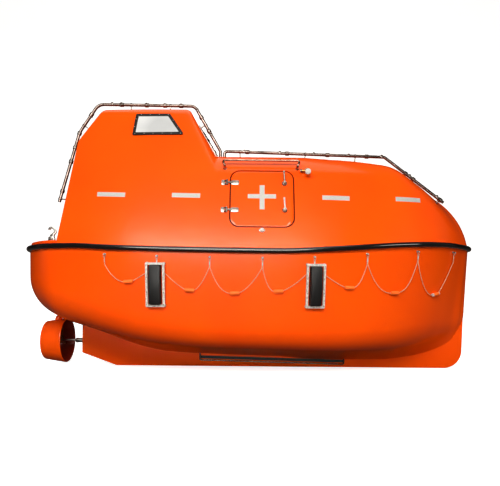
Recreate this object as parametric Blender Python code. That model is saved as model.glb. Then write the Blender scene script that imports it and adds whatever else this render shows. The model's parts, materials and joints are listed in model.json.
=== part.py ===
"""A totally enclosed lifeboat, 5.4 m long, with an aft steering tower and a steering nozzle.

+X is the bow, +Y is port and +Z is up. The origin is amidships, on the centreline, at the
waterline. Heights in this script (k) are measured from the underside of the keel, and
place() lowers every piece by DRAFT, so that the waterline is at zero. Lengths are in metres.
"""
import math

import bmesh
import bpy
from mathutils import Matrix, Vector
from mathutils.bvhtree import BVHTree

for old in list(bpy.data.objects):
    bpy.data.objects.remove(old, do_unlink=True)

# Driving dimensions
DRAFT = 0.60
SEAT = 0.0003            # gap between pieces that touch
PIN_GAP = 0.001          # gap round a pin or shaft
HULL_WALL = 0.060
CANOPY_WALL = 0.045
RIM = 0.030              # hull rim above the middle of the rubber rail
CANOPY_INSET = 0.012     # canopy foot inside the hull's edge
KEEL_HALF = 0.038
LEAN = 0.305             # canopy side, inward run for each metre of height
DOOR_GAP = 0.009
SHAFT_K = 0.306
NOZZLE_X = -2.375        # steering stock and propeller plane

# Moulded hull, stern to bow. The section at each row runs from the spine, out along the
# bottom to the bilge, and up the topside to the gunwale:
# gunwale x, gunwale y, gunwale k, spine x, spine k, bilge share, bilge k, bilge radius
HULL_ROWS = (
    (-2.620, 0.000, 1.400, -1.90, 0.450, 1.000, 0.810, 0.46),
    (-2.588, 0.300, 1.400, -1.90, 0.450, 0.995, 0.800, 0.46),
    (-2.492, 0.570, 1.400, -1.90, 0.450, 0.985, 0.770, 0.46),
    (-2.345, 0.770, 1.400, -1.88, 0.440, 0.970, 0.725, 0.46),
    (-2.150, 0.930, 1.400, -1.84, 0.425, 0.955, 0.665, 0.43),
    (-1.850, 1.015, 1.400, -1.74, 0.385, 0.940, 0.600, 0.40),
    (-1.490, 1.080, 1.382, -1.49, 0.290, 0.925, 0.515, 0.36),
    (-1.000, 1.130, 1.367, -1.00, 0.175, 0.910, 0.420, 0.33),
    (-0.400, 1.150, 1.358, -0.40, 0.145, 0.900, 0.365, 0.30),
    (0.300, 1.150, 1.354, 0.30, 0.125, 0.895, 0.350, 0.30),
    (0.935, 1.120, 1.385, 0.935, 0.090, 0.870, 0.340, 0.32),
    (1.590, 0.980, 1.439, 1.59, 0.090, 0.780, 0.360, 0.38),
    (2.000, 0.800, 1.464, 1.94, 0.120, 0.680, 0.410, 0.45),
    (2.300, 0.570, 1.475, 2.18, 0.160, 0.600, 0.470, 0.50),
    (2.520, 0.340, 1.476, 2.36, 0.200, 0.560, 0.530, 0.50),
    (2.660, 0.160, 1.476, 2.48, 0.230, 0.620, 0.580, 0.40),
    (2.722, 0.000, 1.476, 2.53, 0.250, 0.780, 0.620, 0.35),
)
HULL_PARTS = (2, 1, 2, 2, 1, 2, 2, 2, 2, 2, 2, 2, 2, 2, 2, 2)    # sections to each row

# Keel and stem on the centreline: x, k, corner radius
KEEL_LINE = (
    (-1.55, 0.42, 0.0),
    (-2.07, 0.60, 0.0),
    (-2.07, 0.156, 0.012),
    (-1.64, 0.000, 0.05),
    (2.645, 0.000, 0.22),
    (2.668, 0.700, 0.0),
    (2.45, 0.75, 0.0),
    (2.25, 0.28, 0.0),
    (-1.00, 0.24, 0.0),
)

# Canopy and tower on the centreline, aft face to the foredeck: x, k, corner radius
TOWER_LINE = (
    (-1.940, 2.637, 0.10),
    (-1.700, 3.050, 0.09),
    (-0.690, 3.038, 0.08),
    (-0.378, 2.520, 0.04),
    (0.600, 2.518, 0.0),
    (0.935, 2.497, 0.0),
)
AFT_FACE_X = -2.06
TOWER_SHOULDER = 0.12    # shoulder radius of the tower roof
CABIN_SHOULDER = 0.35    # shoulder radius of the cabin roof
TOWER_CAMBER = 0.075
CABIN_CAMBER = 0.11

# Canopy bow. The section at each row runs from the roof's spine out to the shoulder and
# down to the foot: foot x, foot y, roof x, roof k, shoulder share, shoulder k, radius
BOW_ROWS = (
    (0.300, 1.138, 0.300, 2.518, 0.720, 2.428, 0.35),
    (0.935, 1.108, 0.935, 2.499, 0.727, 2.410, 0.35),
    (1.590, 0.968, 1.50, 2.472, 0.765, 2.350, 0.34),
    (2.000, 0.788, 1.66, 2.455, 0.790, 2.165, 0.44),
    (2.300, 0.558, 1.69, 2.432, 0.850, 2.035, 0.74),
    (2.520, 0.328, 1.70, 2.415, 0.885, 1.945, 0.92),
    (2.658, 0.148, 1.70, 2.410, 0.905, 1.925, 0.98),
    (2.712, 0.000, 1.70, 2.410, 0.911, 1.920, 1.00),
)
BOW_ROW = 9              # the hull row level with the first of them

# Side door: middle x, middle k, half width, half height along the slope, corner radius
DOOR = (0.130, 1.920, 0.345, 0.334, 0.110)
DOOR_DRAFT = 0.12
HINGE_K = (2.100, 1.795)
LATCH_K = (2.090, 1.790)
LATCH_X = 0.368

FENDER_X = (-0.963, 0.683)
FENDER_K = 1.000
EYE_X = (-1.50, -0.95, -0.405, 0.136, 0.671, 1.225, 1.81, 2.346)
EYE_DROP = 0.072         # lifeline pegs below the middle of the rubber rail
LOOP_SAG = (0.296, 0.371, 0.384, 0.365, 0.360, 0.440, 0.500)
FLOAT_SHIFT = (-0.022, 0.066, -0.012, -0.102, 0.093, 0.037, 0.022)    # off the loop's middle
ROPE_RADIUS = 0.005


def material(name, rgb, roughness, metallic=0.0):
    """A plain painted or metal surface."""
    mat = bpy.data.materials.new(name)
    mat.use_nodes = True
    shader = mat.node_tree.nodes["Principled BSDF"]
    shader.inputs["Base Color"].default_value = (*rgb, 1.0)
    shader.inputs["Roughness"].default_value = roughness
    shader.inputs["Metallic"].default_value = metallic
    return mat


ORANGE = material("orange gelcoat", (1.0, 0.13, 0.0), 0.2)
INNER = material("pale inner moulding", (0.75, 0.74, 0.70), 0.5)
RUBBER = material("black rubber", (0.01, 0.01, 0.012), 0.35)
STEEL = material("polished stainless steel", (0.62, 0.60, 0.58), 0.15, 1.0)
BRONZE = material("propeller bronze", (0.30, 0.17, 0.07), 0.35, 1.0)
BRASS = material("brass", (0.60, 0.42, 0.16), 0.3, 1.0)
ROPE = material("pale rope", (0.75, 0.72, 0.66), 0.8)
ENGINE = material("engine grey", (0.18, 0.20, 0.21), 0.5)


def place(name, bm, mat, pivot=(0.0, 0.0, 0.0)):
    """Name a shape drawn in keel heights, with its origin at pivot."""
    bmesh.ops.translate(bm, verts=bm.verts, vec=-Vector(pivot))
    mesh = bpy.data.meshes.new(name)
    bm.to_mesh(mesh)
    bm.free()
    mesh.materials.append(mat)
    mesh.shade_smooth()
    mesh.set_sharp_from_angle(angle=math.radians(32))
    obj = bpy.data.objects.new(name, mesh)
    obj.location = Vector(pivot) - Vector((0.0, 0.0, DRAFT))
    bpy.context.scene.collection.objects.link(obj)
    return obj


def combine(base, tool, operation):
    """Unite, cut or intersect two closed shapes."""
    pair = []
    for bm in (base, tool):
        mesh = bpy.data.meshes.new("work")
        bm.to_mesh(mesh)
        bm.free()
        obj = bpy.data.objects.new("work", mesh)
        bpy.context.scene.collection.objects.link(obj)
        pair.append(obj)
    step = pair[0].modifiers.new("step", "BOOLEAN")
    step.operation = operation
    step.solver = "EXACT"
    step.object = pair[1]
    depsgraph = bpy.context.evaluated_depsgraph_get()
    result = bmesh.new()
    result.from_mesh(pair[0].evaluated_get(depsgraph).to_mesh())
    bmesh.ops.remove_doubles(result, verts=result.verts, dist=0.00001)
    for obj in pair:
        bpy.data.objects.remove(obj, do_unlink=True)
    return result


def unite(shapes):
    """Unite shapes that cut into each other, in turn."""
    whole = shapes[0]
    for shape in shapes[1:]:
        whole = combine(whole, shape, "UNION")
    return whole


def mirrored(bm):
    """The port copy of a starboard shape."""
    twin = bm.copy()
    bmesh.ops.scale(twin, verts=twin.verts, vec=(1.0, -1.0, 1.0))
    bmesh.ops.reverse_faces(twin, faces=twin.faces)
    return twin


def box(low, high):
    bm = bmesh.new()
    bmesh.ops.create_cube(bm, size=1.0)
    size = Vector(high) - Vector(low)
    bmesh.ops.scale(bm, verts=bm.verts, vec=size)
    bmesh.ops.translate(bm, verts=bm.verts, vec=Vector(low) + size / 2)
    return bm


def aligned(axis, up=(0.0, 0.0, 1.0)):
    """A rotation whose Z runs along axis."""
    z = Vector(axis).normalized()
    x = Vector(up).cross(z)
    if x.length < 1e-6:
        x = Vector((1.0, 0.0, 0.0))
    x.normalize()
    return Matrix((x, z.cross(x), z)).transposed().to_4x4()


def cone(start, end, radius, end_radius=None, sides=12):
    """A round bar, or a taper, from start to end."""
    start, end = Vector(start), Vector(end)
    bm = bmesh.new()
    bmesh.ops.create_cone(bm, cap_ends=True, segments=sides, radius1=radius,
                          radius2=radius if end_radius is None else end_radius,
                          depth=(end - start).length)
    turn = Matrix.Translation((start + end) / 2) @ aligned(end - start)
    bmesh.ops.transform(bm, matrix=turn, verts=bm.verts)
    return bm


def prism(outline, frame, low, high):
    """An outline in a frame's X and Y, drawn out along its Z from low to high."""
    bm = bmesh.new()
    ends = []
    for height in (low, high):
        ends.append([bm.verts.new(frame @ Vector((x, y, height))) for x, y in outline])
    count = len(outline)
    bm.faces.new(list(reversed(ends[0])))
    bm.faces.new(ends[1])
    for i in range(count):
        j = (i + 1) % count
        bm.faces.new((ends[0][i], ends[0][j], ends[1][j], ends[1][i]))
    bmesh.ops.recalc_face_normals(bm, faces=bm.faces)
    return bm


def skin(rings, closed=False):
    """Join rings of equal count. An open run gets a face over each end."""
    bm = bmesh.new()
    rows = [[bm.verts.new(point) for point in ring] for ring in rings]
    count = len(rings[0])
    last = len(rows) if closed else len(rows) - 1
    for i in range(last):
        low, high = rows[i], rows[(i + 1) % len(rows)]
        for j in range(count):
            n = (j + 1) % count
            bm.faces.new((low[j], low[n], high[n], high[j]))
    if not closed:
        bm.faces.new(list(reversed(rows[0])))
        bm.faces.new(rows[-1])
    bmesh.ops.recalc_face_normals(bm, faces=bm.faces)
    return bm


def tube(points, radius, sides=8):
    """A round bar along a path."""
    points = [Vector(p) for p in points]
    rings = []
    side = None
    for i, point in enumerate(points):
        ahead = points[min(i + 1, len(points) - 1)]
        behind = points[max(i - 1, 0)]
        along = (ahead - behind).normalized()
        if side is None:
            side = along.orthogonal().normalized()
        side = (side - along * side.dot(along)).normalized()
        across = along.cross(side)
        ring = []
        for j in range(sides):
            angle = math.tau * j / sides
            ring.append(point + radius * (math.cos(angle) * side + math.sin(angle) * across))
        rings.append(ring)
    return skin(rings)


def bent(corners, steps=4):
    """A path through corners, each a point and the radius of its bend."""
    path = []
    for i, (point, radius) in enumerate(corners):
        point = Vector(point)
        if radius == 0.0 or i in (0, len(corners) - 1):
            path.append(point)
            continue
        back = (Vector(corners[i - 1][0]) - point).normalized()
        front = (Vector(corners[i + 1][0]) - point).normalized()
        half = back.angle(front) / 2
        reach = radius / math.tan(half)
        centre = point + (back + front).normalized() * radius / math.sin(half)
        start = point + back * reach - centre
        end = point + front * reach - centre
        sweep = start.angle(end)
        for s in range(steps + 1):
            share = s / steps
            blend = math.sin((1 - share) * sweep) * start + math.sin(share * sweep) * end
            path.append(centre + blend / math.sin(sweep))
    return path


def rounded(outline, steps=4):
    """A closed outline of x, y and corner radius, with its corners made arcs."""
    points = []
    count = len(outline)
    for i, (x, y, radius) in enumerate(outline):
        if radius == 0.0:
            points.append((x, y))
            continue
        before, after = outline[i - 1], outline[(i + 1) % count]
        arc = bent((((before[0], before[1], 0.0), 0.0), ((x, y, 0.0), radius),
                    ((after[0], after[1], 0.0), 0.0)), steps)[1:-1]
        points += [(p.x, p.y) for p in arc]
    return points


def rounded_box(half_x, half_y, radius, steps=4):
    """A rectangle's outline about the middle, with round corners."""
    return rounded(((half_x, half_y, radius), (-half_x, half_y, radius),
                    (-half_x, -half_y, radius), (half_x, -half_y, radius)), steps)


def between(rows, u, mirror_column):
    """A row at place u of a table, read smoothly and without overshoot.

    The ends go on as mirror images: mirror_column changes its sign there.
    """
    i = min(int(u), len(rows) - 2)
    t = u - i
    values = []
    for c in range(len(rows[0])):
        sign = -1.0 if c == mirror_column else 1.0
        before = rows[i - 1][c] if i > 0 else sign * rows[1][c]
        after = rows[i + 2][c] if i + 2 < len(rows) else sign * rows[-2][c]
        a, b = rows[i][c], rows[i + 1][c]
        slopes = []
        for d0, d1 in ((a - before, b - a), (b - a, after - b)):
            slopes.append(2 * d0 * d1 / (d0 + d1) if d0 * d1 > 0 else 0.0)
        h = t * t * (3 - 2 * t)
        values.append(a + (b - a) * h + slopes[0] * t * (1 - t) ** 2 - slopes[1] * t * t * (1 - t))
    return values


def corner_line(start, corner, end, radius, counts):
    """Two straight lines joined by an arc at their corner, in plane coordinates.

    counts gives the steps on the first line, round the arc and on the second line.
    """
    start, corner, end = Vector(start), Vector(corner), Vector(end)
    back, front = start - corner, end - corner
    points = []
    if back.length < 1e-6 or front.length < 1e-6:
        total = sum(counts)
        return [start.lerp(end, i / total) for i in range(total + 1)]
    half = back.angle(front) / 2
    reach = min(radius / math.tan(half), 0.92 * back.length, 0.92 * front.length)
    first = corner + back.normalized() * reach
    last = corner + front.normalized() * reach
    for i in range(counts[0]):
        points.append(start.lerp(first, i / counts[0]))
    if math.pi / 2 - half < 0.01:
        points += [first.lerp(last, i / counts[1]) for i in range(counts[1])]
    else:
        radius = reach * math.tan(half)
        centre = corner + (back.normalized() + front.normalized()).normalized() * radius / math.sin(half)
        sweep = (first - centre).angle(last - centre)
        for i in range(counts[1]):
            share = i / counts[1]
            blend = (math.sin((1 - share) * sweep) * (first - centre)
                     + math.sin(share * sweep) * (last - centre))
            points.append(centre + blend / math.sin(sweep))
    for i in range(counts[2] + 1):
        points.append(last.lerp(end, i / counts[2]))
    return points


def mirrored_loft(sections, flat_start=False):
    """Skin one side's sections and their mirror images, and close them across the edge."""
    bm = bmesh.new()
    sides = []
    for sign in (-1.0, 1.0):
        sides.append([[bm.verts.new((x, sign * y, k)) for x, y, k in s] for s in sections])
    left, right = sides
    for i in range(len(sections) - 1):
        for side in sides:
            for j in range(len(sections[0]) - 1):
                a, b = side[i][j:j + 2]
                c, d = side[i + 1][j:j + 2]
                split = ((a, c, d), (a, d, b)) if i < len(sections) // 2 else ((a, c, b), (c, d, b))
                bm.faces.new(split[0])
                bm.faces.new(split[1])
        if i == 0 and flat_start:
            edge = list(reversed(left[0])) + right[0]
        else:
            edge = [left[i][-1], right[i][-1]]
        bm.faces.new(edge + [right[i + 1][-1], left[i + 1][-1]])
    bmesh.ops.remove_doubles(bm, verts=bm.verts, dist=0.00002)
    bmesh.ops.recalc_face_normals(bm, faces=bm.faces)
    return bm


# Moulded hull

INNER_COUNTS = (1, 3, 1)


def hull_section(u, inset=0.0, rise=0.0, counts=(2, 5, 2)):
    """One side of the hull's section at place u, or of the same section inset."""
    gx, gy, gk, sx, sk, share, bilge_k, radius = between(HULL_ROWS, u, 1)
    reach = math.hypot(gx - sx, gy)
    along = ((gx - sx) / reach, gy / reach)
    foot = (0.0, sk + inset)
    bilge = (share * reach - inset, bilge_k + 0.9 * inset)
    top = (reach - inset, gk + RIM + rise)
    line = corner_line(foot, bilge, top, max(radius - inset, 0.05), counts)
    return [(sx + d * along[0], d * along[1], k) for d, k in line]


def hull_places():
    """Places along the hull's table where its sections lie."""
    places = [0.0]
    for i, parts in enumerate(HULL_PARTS):
        places += [i + (j + 1) / parts for j in range(parts)]
    return places


def place_at(x):
    """The place in the hull's table whose gunwale lies at x."""
    low, high = 0.0, len(HULL_ROWS) - 1.0
    for _ in range(40):
        middle = (low + high) / 2
        if between(HULL_ROWS, middle, 1)[0] < x:
            low = middle
        else:
            high = middle
    return low


def gunwale(x):
    """The half breadth and rail height at x, straight between the hull's sections."""
    edge = [between(HULL_ROWS, u, 1)[:3] for u in hull_places()]
    for (x0, y0, k0), (x1, y1, k1) in zip(edge, edge[1:]):
        if x <= x1:
            share = max(0.0, (x - x0) / (x1 - x0))
            return y0 + (y1 - y0) * share, k0 + (k1 - k0) * share
    return edge[-1][1], edge[-1][2]


def topside(x, k):
    """A point of the starboard topside, and the hull's outward direction there."""
    u = place_at(x)
    gx, gy, gk, sx, sk, share, bilge_k, radius = between(HULL_ROWS, u, 1)
    slope = (1.0 - share) * math.hypot(gx - sx, gy) / (gk + RIM - bilge_k)
    ahead, behind = between(HULL_ROWS, u + 0.02, 1), between(HULL_ROWS, u - 0.02, 1)
    run = Vector((ahead[0] - behind[0], behind[1] - ahead[1], 0.0)).normalized()
    normal = Vector((run.y, -run.x, 0.0))
    if normal.y > 0:
        normal.negate()
    point = skin_hit(HULL_SKIN, (x, -2.0, k), (0.0, 1.0, 0.0))
    return point, Vector((normal.x, normal.y, -slope)).normalized()


def keel():
    """Keel, skeg and stem bar, a fin whose corners are arcs."""
    outline = rounded(KEEL_LINE, 6)
    frame = Matrix(((1, 0, 0, 0), (0, 0, -1, 0), (0, 1, 0, 0), (0, 0, 0, 1)))
    return prism(outline, frame, -KEEL_HALF, KEEL_HALF)


def peg(x):
    """A lifeline peg on the topside: a round bar with an upturned tip."""
    k = gunwale(x)[1] - EYE_DROP
    point, out = topside(x, k)
    root = point - out * 0.01
    tip = point + out * 0.033
    bar = cone(root, tip, 0.006, sides=6)
    knob = cone(tip - Vector((0, 0, 0.007)), tip + Vector((0, 0, 0.016)), 0.0052, sides=5)
    return unite([bar, knob])


def hull_outside():
    outer = mirrored_loft([hull_section(u) for u in hull_places()])
    return combine(outer, keel(), "UNION")


def skin_hit(tree, start, aim):
    """Where a straight line from start along aim meets a skin."""
    return tree.ray_cast(Vector(start), Vector(aim).normalized())[0]


def seated(tree, start, aim, right, half_x, half_y, turn=None):
    """A frame for a plate that rests on a skin, with Z outward and X to the right.

    start and aim are a line on to the skin, and the plate reaches half_x and half_y each way.
    turn keeps the given X and Z instead of those of the skin.
    """
    aim, right = Vector(aim).normalized(), Vector(right).normalized()
    up = (-aim).cross(right)

    def touch(a, b):
        return skin_hit(tree, Vector(start) + right * a + up * b, aim)

    if turn is None:
        right_run = (touch(half_x, 0.0) - touch(-half_x, 0.0)).normalized()
        out = right_run.cross(touch(0.0, half_y) - touch(0.0, -half_y)).normalized()
    else:
        right_run, out = turn
    middle = touch(0.0, 0.0)
    steps = [i / 4 - 1 for i in range(9)]
    lift = max((touch(a * half_x, b * half_y) - middle).dot(out) for a in steps for b in steps)
    return panel_frame(middle + out * lift, right_run, out.cross(right_run))


def footing(tree, point, aim, radius):
    """The seat on a skin for a round foot that stands square to it, and its direction."""
    normal = tree.ray_cast(Vector(point), Vector(aim).normalized())[1]
    right = normal.orthogonal().normalized()
    frame = seated(tree, point, -normal, right, radius, radius, (right, normal))
    return frame.translation + normal * SEAT, normal


def panel_frame(point, right, up):
    """A frame with X to the right, Y up and Z out of a panel."""
    right, up = Vector(right).normalized(), Vector(up).normalized()
    out = right.cross(up)
    return Matrix.Translation(point) @ Matrix((right, up, out)).transposed().to_4x4()


def hull_shell():
    solid = hull_outside()
    inner = mirrored_loft([hull_section(u, HULL_WALL, 0.08, INNER_COUNTS) for u in hull_places()])
    solid = combine(solid, inner, "DIFFERENCE")
    stock = cone((NOZZLE_X, 0, 0.55), (NOZZLE_X, 0, 0.95), 0.022 + PIN_GAP, sides=16)
    solid = combine(solid, stock, "DIFFERENCE")
    for x in EYE_X:
        one = peg(x)
        twin = mirrored(one)
        solid = combine(solid, one, "UNION")
        solid = combine(solid, twin, "UNION")
    place("hull_shell", solid, ORANGE)


def lining(low, high, gap=0.0006):
    """The part of the hull's inside that lies between two corners."""
    inside = mirrored_loft([hull_section(u, HULL_WALL + gap, 0.08, INNER_COUNTS)
                            for u in hull_places()])
    return combine(inside, box(low, high), "INTERSECT")


SOLE_K = 0.420
SOLE_THICK = 0.030
BENCH_K = 0.820
AISLE = 0.430


def interior():
    """Sole, benches, engine block, helm seat, console and wheel."""
    place("cabin_sole", lining((-1.95, -1.2, SOLE_K), (2.2, 1.2, SOLE_K + SOLE_THICK)), INNER)
    floor_k = SOLE_K + SOLE_THICK + SEAT
    plan = ((-1.80, -1.2), (2.06, -1.2), (2.06, 1.2), (-1.80, 1.2), (-1.80, AISLE),
            (1.45, AISLE), (1.45, -AISLE), (-1.80, -AISLE))
    benches = combine(lining((-2.2, -1.3, floor_k), (2.4, 1.3, BENCH_K)),
                      prism(plan, Matrix.Identity(4), 0.3, 1.3), "INTERSECT")
    place("cabin_benches", benches, INNER)
    place("engine_block", box((-1.05, -0.27, floor_k), (-0.35, 0.27, 1.02)), ENGINE)

    seat = unite([
        box((-1.66, -0.10, floor_k), (-1.46, 0.10, 2.02)),
        box((-1.76, -0.23, 2.00), (-1.33, 0.23, 2.10)),
        box((-1.84, -0.22, 2.03), (-1.75, 0.22, 2.52)),
    ])
    place("helm_seat", seat, INNER)
    console = unite([
        box((-0.98, -0.12, 1.02 + SEAT), (-0.80, 0.12, 2.30)),
        box((-1.02, -0.30, 2.27), (-0.74, 0.30, 2.42)),
    ])
    place("helm_console", console, INNER)
    hub = Vector((-1.055, 0.0, 2.34))
    rim = []
    for i in range(16):
        angle = math.tau * i / 16
        centre = hub + Vector((0.0, math.cos(angle), math.sin(angle))) * 0.165
        spoke = Vector((0.0, math.cos(angle), math.sin(angle)))
        ring = []
        for j in range(5):
            turn = math.tau * j / 5
            ring.append(centre + 0.011 * (math.cos(turn) * spoke + Vector((math.sin(turn), 0, 0))))
        rim.append(ring)
    shapes = [skin(rim, closed=True), cone(hub - Vector((0.012, 0, 0)), hub + Vector((0.034, 0, 0)), 0.03)]
    for i in range(3):
        angle = math.tau * (i / 3 + 0.25)
        spoke = Vector((0.0, math.cos(angle), math.sin(angle)))
        shapes.append(cone(hub + spoke * 0.015, hub + spoke * 0.163, 0.008, sides=6))
    place("helm_wheel", unite(shapes), RUBBER, hub)


# Canopy and tower

def offset_line(points, inset):
    """A line of x, k and radius moved to its right by inset, for the inner face."""
    moved = []
    for i, (x, k, radius) in enumerate(points):
        here = Vector((x, k))
        normals = []
        for a, b in ((i - 1, i), (i, i + 1)):
            if 0 <= a and b < len(points):
                run = (Vector(points[b][:2]) - Vector(points[a][:2])).normalized()
                normals.append(Vector((run.y, -run.x)))
        normal = sum(normals, Vector((0.0, 0.0))).normalized()
        here += normal * inset / normal.dot(normals[0])
        moved.append((here.x, here.y, radius))
    return moved


def ramp(x, points):
    """A value read from a short line of (x, value) pairs."""
    for (x0, v0), (x1, v1) in zip(points, points[1:]):
        if x <= x1:
            return v0 + (v1 - v0) * max(0.0, (x - x0) / (x1 - x0))
    return points[-1][1]


SHOULDER_RUN = ((-1.9, 0.03), (-1.72, TOWER_SHOULDER), (-0.67, TOWER_SHOULDER),
                (-0.36, CABIN_SHOULDER))
CAMBER_RUN = ((-1.94, 0.03), (-1.72, TOWER_CAMBER), (-0.67, TOWER_CAMBER), (-0.36, CABIN_CAMBER))
CANOPY_COUNTS = (2, 5, 2)


def crowned(line, steps, share=1.0):
    """Round the ridge of a roof line, keeping the slope that its first steps end with."""
    reach, edge_k = line[steps]
    slope = (line[0][1] - edge_k) / reach
    shaped = list(line)
    for i in range(steps):
        d, k = line[i]
        round_k = edge_k + slope * reach / 2 * (1 - (d / reach) ** 2)
        shaped[i] = (d, k + (round_k - k) * share)
    return shaped


def canopy_middle(inset, foot_drop):
    """Points of the tower's and cabin's centre line, with one at each hull section."""
    base = gunwale(AFT_FACE_X)[1] + RIM + SEAT
    slope = (TOWER_LINE[0][0] - AFT_FACE_X) / (TOWER_LINE[0][1] - base)
    line = ((AFT_FACE_X - foot_drop * slope, base - foot_drop, 0.0),) + TOWER_LINE
    if inset:
        line = offset_line(line, inset)
    middle = bent([((x, 0.0, k), radius) for x, k, radius in line], 3)
    sections = [between(HULL_ROWS, u, 1)[0] for u in hull_places() if u <= BOW_ROW + 1]
    points = []
    for a, b in zip(middle, middle[1:]):
        points.append(a)
        points += [a.lerp(b, (x - a.x) / (b.x - a.x)) for x in sections
                   if a.x + 0.012 < x < b.x - 0.012]
    return points + [middle[-1]]


def canopy_sections(inset, counts=CANOPY_COUNTS):
    """One side's sections, from the aft face to the bow."""
    foot_drop = 0.10 if inset else 0.0
    sections = []
    for point in canopy_middle(inset, foot_drop):
        breadth, rail_k = gunwale(point.x)
        foot_k = rail_k + RIM + SEAT - foot_drop
        foot_y = breadth - CANOPY_INSET - inset * 1.045 + LEAN * foot_drop
        camber = ramp(point.x, CAMBER_RUN)
        radius = max(ramp(point.x, SHOULDER_RUN) - inset * 0.8, 0.015)
        shoulder_k = (point.z - camber * (foot_y + LEAN * foot_k)) / (1 - camber * LEAN)
        shoulder_k = max(shoulder_k, foot_k)
        shoulder = (foot_y - LEAN * (shoulder_k - foot_k), shoulder_k)
        roof = (0.0, max(point.z, foot_k))
        line = [tuple(p) for p in corner_line(roof, shoulder, (foot_y, foot_k), radius, counts)]
        line = crowned(line, counts[0])
        sections.append([(point.x, d, k) for d, k in line])
    first_x, last_x = BOW_ROWS[1][2], BOW_ROWS[-1][2]
    for u in hull_places():
        if u <= BOW_ROW + 1:
            continue
        fx, fy, rx, rk, share, shoulder_k, radius = between(BOW_ROWS, u - BOW_ROW, 1)
        reach = math.hypot(fx - rx, fy)
        along = ((fx - rx) / reach, fy / reach)
        foot_k = between(HULL_ROWS, u, 1)[2] + RIM + SEAT - foot_drop
        roof = (0.0, rk - inset)
        shoulder = (share * reach - 0.85 * inset, shoulder_k - 0.6 * inset)
        foot = (reach - inset, foot_k)
        radius = max(radius - inset * 0.5, 0.1)
        line = [tuple(p) for p in corner_line(roof, shoulder, foot, radius, counts)]
        line = crowned(line, counts[0], 1 - ((rx - first_x) / (last_x - first_x)) ** 4)
        sections.append([(rx + d * along[0], d * along[1], k) for d, k in line])
    return sections


def canopy_side(x, k):
    """A point of the starboard canopy side, outward and up along it."""
    breadth, rail_k = gunwale(x)
    y = breadth - CANOPY_INSET - LEAN * (k - rail_k - RIM - SEAT)
    tilt = math.atan(LEAN)
    out = Vector((0.0, -math.cos(tilt), math.sin(tilt)))
    up = Vector((0.0, math.sin(tilt), math.cos(tilt)))
    return Vector((x, -y, k)), out, up


HULL_SKIN = BVHTree.FromBMesh(hull_outside())
CANOPY_SKIN = BVHTree.FromBMesh(mirrored_loft(canopy_sections(0.0), flat_start=True))
FROM_STARBOARD = (0.0, 1.0, 0.0)


def tapered_plug(half_x, half_y, radius, frame, draft, reach_in=0.22, reach_out=0.12):
    """A rounded plug through a wall, smaller inside by draft, for openings and leaves."""
    rings = []
    for depth in (-reach_in, reach_out):
        grow = draft * depth
        outline = rounded_box(half_x + grow, half_y + grow, max(radius + grow, 0.01))
        rings.append([frame @ Vector((x, y, depth)) for x, y in outline])
    return skin(rings)


AFT_HATCH_K = 2.050
AFT_HATCH = (0.29, 0.29, 0.08)
FORE_HATCH = (0.27, 0.27, 0.07)
FORE_HATCH_AT = Vector((2.10, 0.0, 2.205))
FORE_RUN = Vector((-0.92, 0.0, 0.485)).normalized()
HATCH_DRAFT = 0.12
FORE_DRAFT = 0.30


def door_frame():
    point, out, up = canopy_side(DOOR[0], DOOR[1])
    return panel_frame(point, (1, 0, 0), up)


def aft_hatch_frame():
    return seated(CANOPY_SKIN, (-3.0, 0.0, AFT_HATCH_K), (1, 0, 0), (0, -1, 0), 0.25, 0.25)


def fore_hatch_frame():
    aim = FORE_RUN.cross(Vector((0, 1, 0)))
    return seated(CANOPY_SKIN, FORE_HATCH_AT - aim * 0.8, aim, (0, 1, 0), 0.2, 0.22)


# Tower windows: the side ones in x and k, the others in y and height along their slope,
# each with a corner radius
WINDOW_AT = (-1.020, 2.785)
SIDE_WINDOW = ((-1.284, 2.915, 0.016), (-0.903, 2.912, 0.016), (-0.726, 2.655, 0.016),
               (-1.306, 2.655, 0.016))
FRONT_WINDOW = ((0.36, 0.115, 0.03), (-0.36, 0.115, 0.03), (-0.40, -0.115, 0.03),
                (0.40, -0.115, 0.03))
AFT_WINDOW = ((0.26, 0.10, 0.03), (-0.26, 0.10, 0.03), (-0.28, -0.10, 0.03), (0.28, -0.10, 0.03))
FRONT_WINDOW_K = 2.79
AFT_WINDOW_K = 2.855
WINDOW_LIP = 0.022


def inset_outline(outline, inset):
    """A convex outline of x, y and radius drawn in by inset."""
    count = len(outline)
    area = sum(outline[i - 1][0] * outline[i][1] - outline[i][0] * outline[i - 1][1]
               for i in range(count))
    turn = 1.0 if area > 0 else -1.0
    moved = []
    for i, (x, y, radius) in enumerate(outline):
        here = Vector((x, y))
        normals = []
        for a, b in ((i - 1, i), (i, (i + 1) % count)):
            run = (Vector(outline[b][:2]) - Vector(outline[a][:2])).normalized()
            normals.append(Vector((-run.y, run.x)) * turn)
        normal = (normals[0] + normals[1]).normalized()
        here += normal * inset / normal.dot(normals[0])
        moved.append((here.x, here.y, max(radius - inset, 0.006)))
    return moved


def window_frames():
    """Each window: its name, its frame and its outline in that frame."""
    tilt = math.cos(math.atan(LEAN))
    x0, k0 = WINDOW_AT
    side = [(x - x0, (k - k0) / tilt, r) for x, k, r in SIDE_WINDOW]
    frame = seated(CANOPY_SKIN, (x0, -2.0, k0), FROM_STARBOARD, (1, 0, 0), 0.27, 0.125)
    yield "window_starboard", frame, side
    flip = Matrix.Scale(-1.0, 4, (0, 1, 0))
    port = flip @ frame @ Matrix.Scale(-1.0, 4, (1, 0, 0))
    yield "window_port", port, [(-x, y, r) for x, y, r in side]
    front = seated(CANOPY_SKIN, (1.0, 0.0, FRONT_WINDOW_K), (-1, 0, 0), (0, 1, 0), 0.36, 0.09)
    yield "window_front", front, FRONT_WINDOW
    aft = seated(CANOPY_SKIN, (-3.0, 0.0, AFT_WINDOW_K), (1, 0, 0), (0, -1, 0), 0.24, 0.08)
    yield "window_aft", aft, AFT_WINDOW


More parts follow.
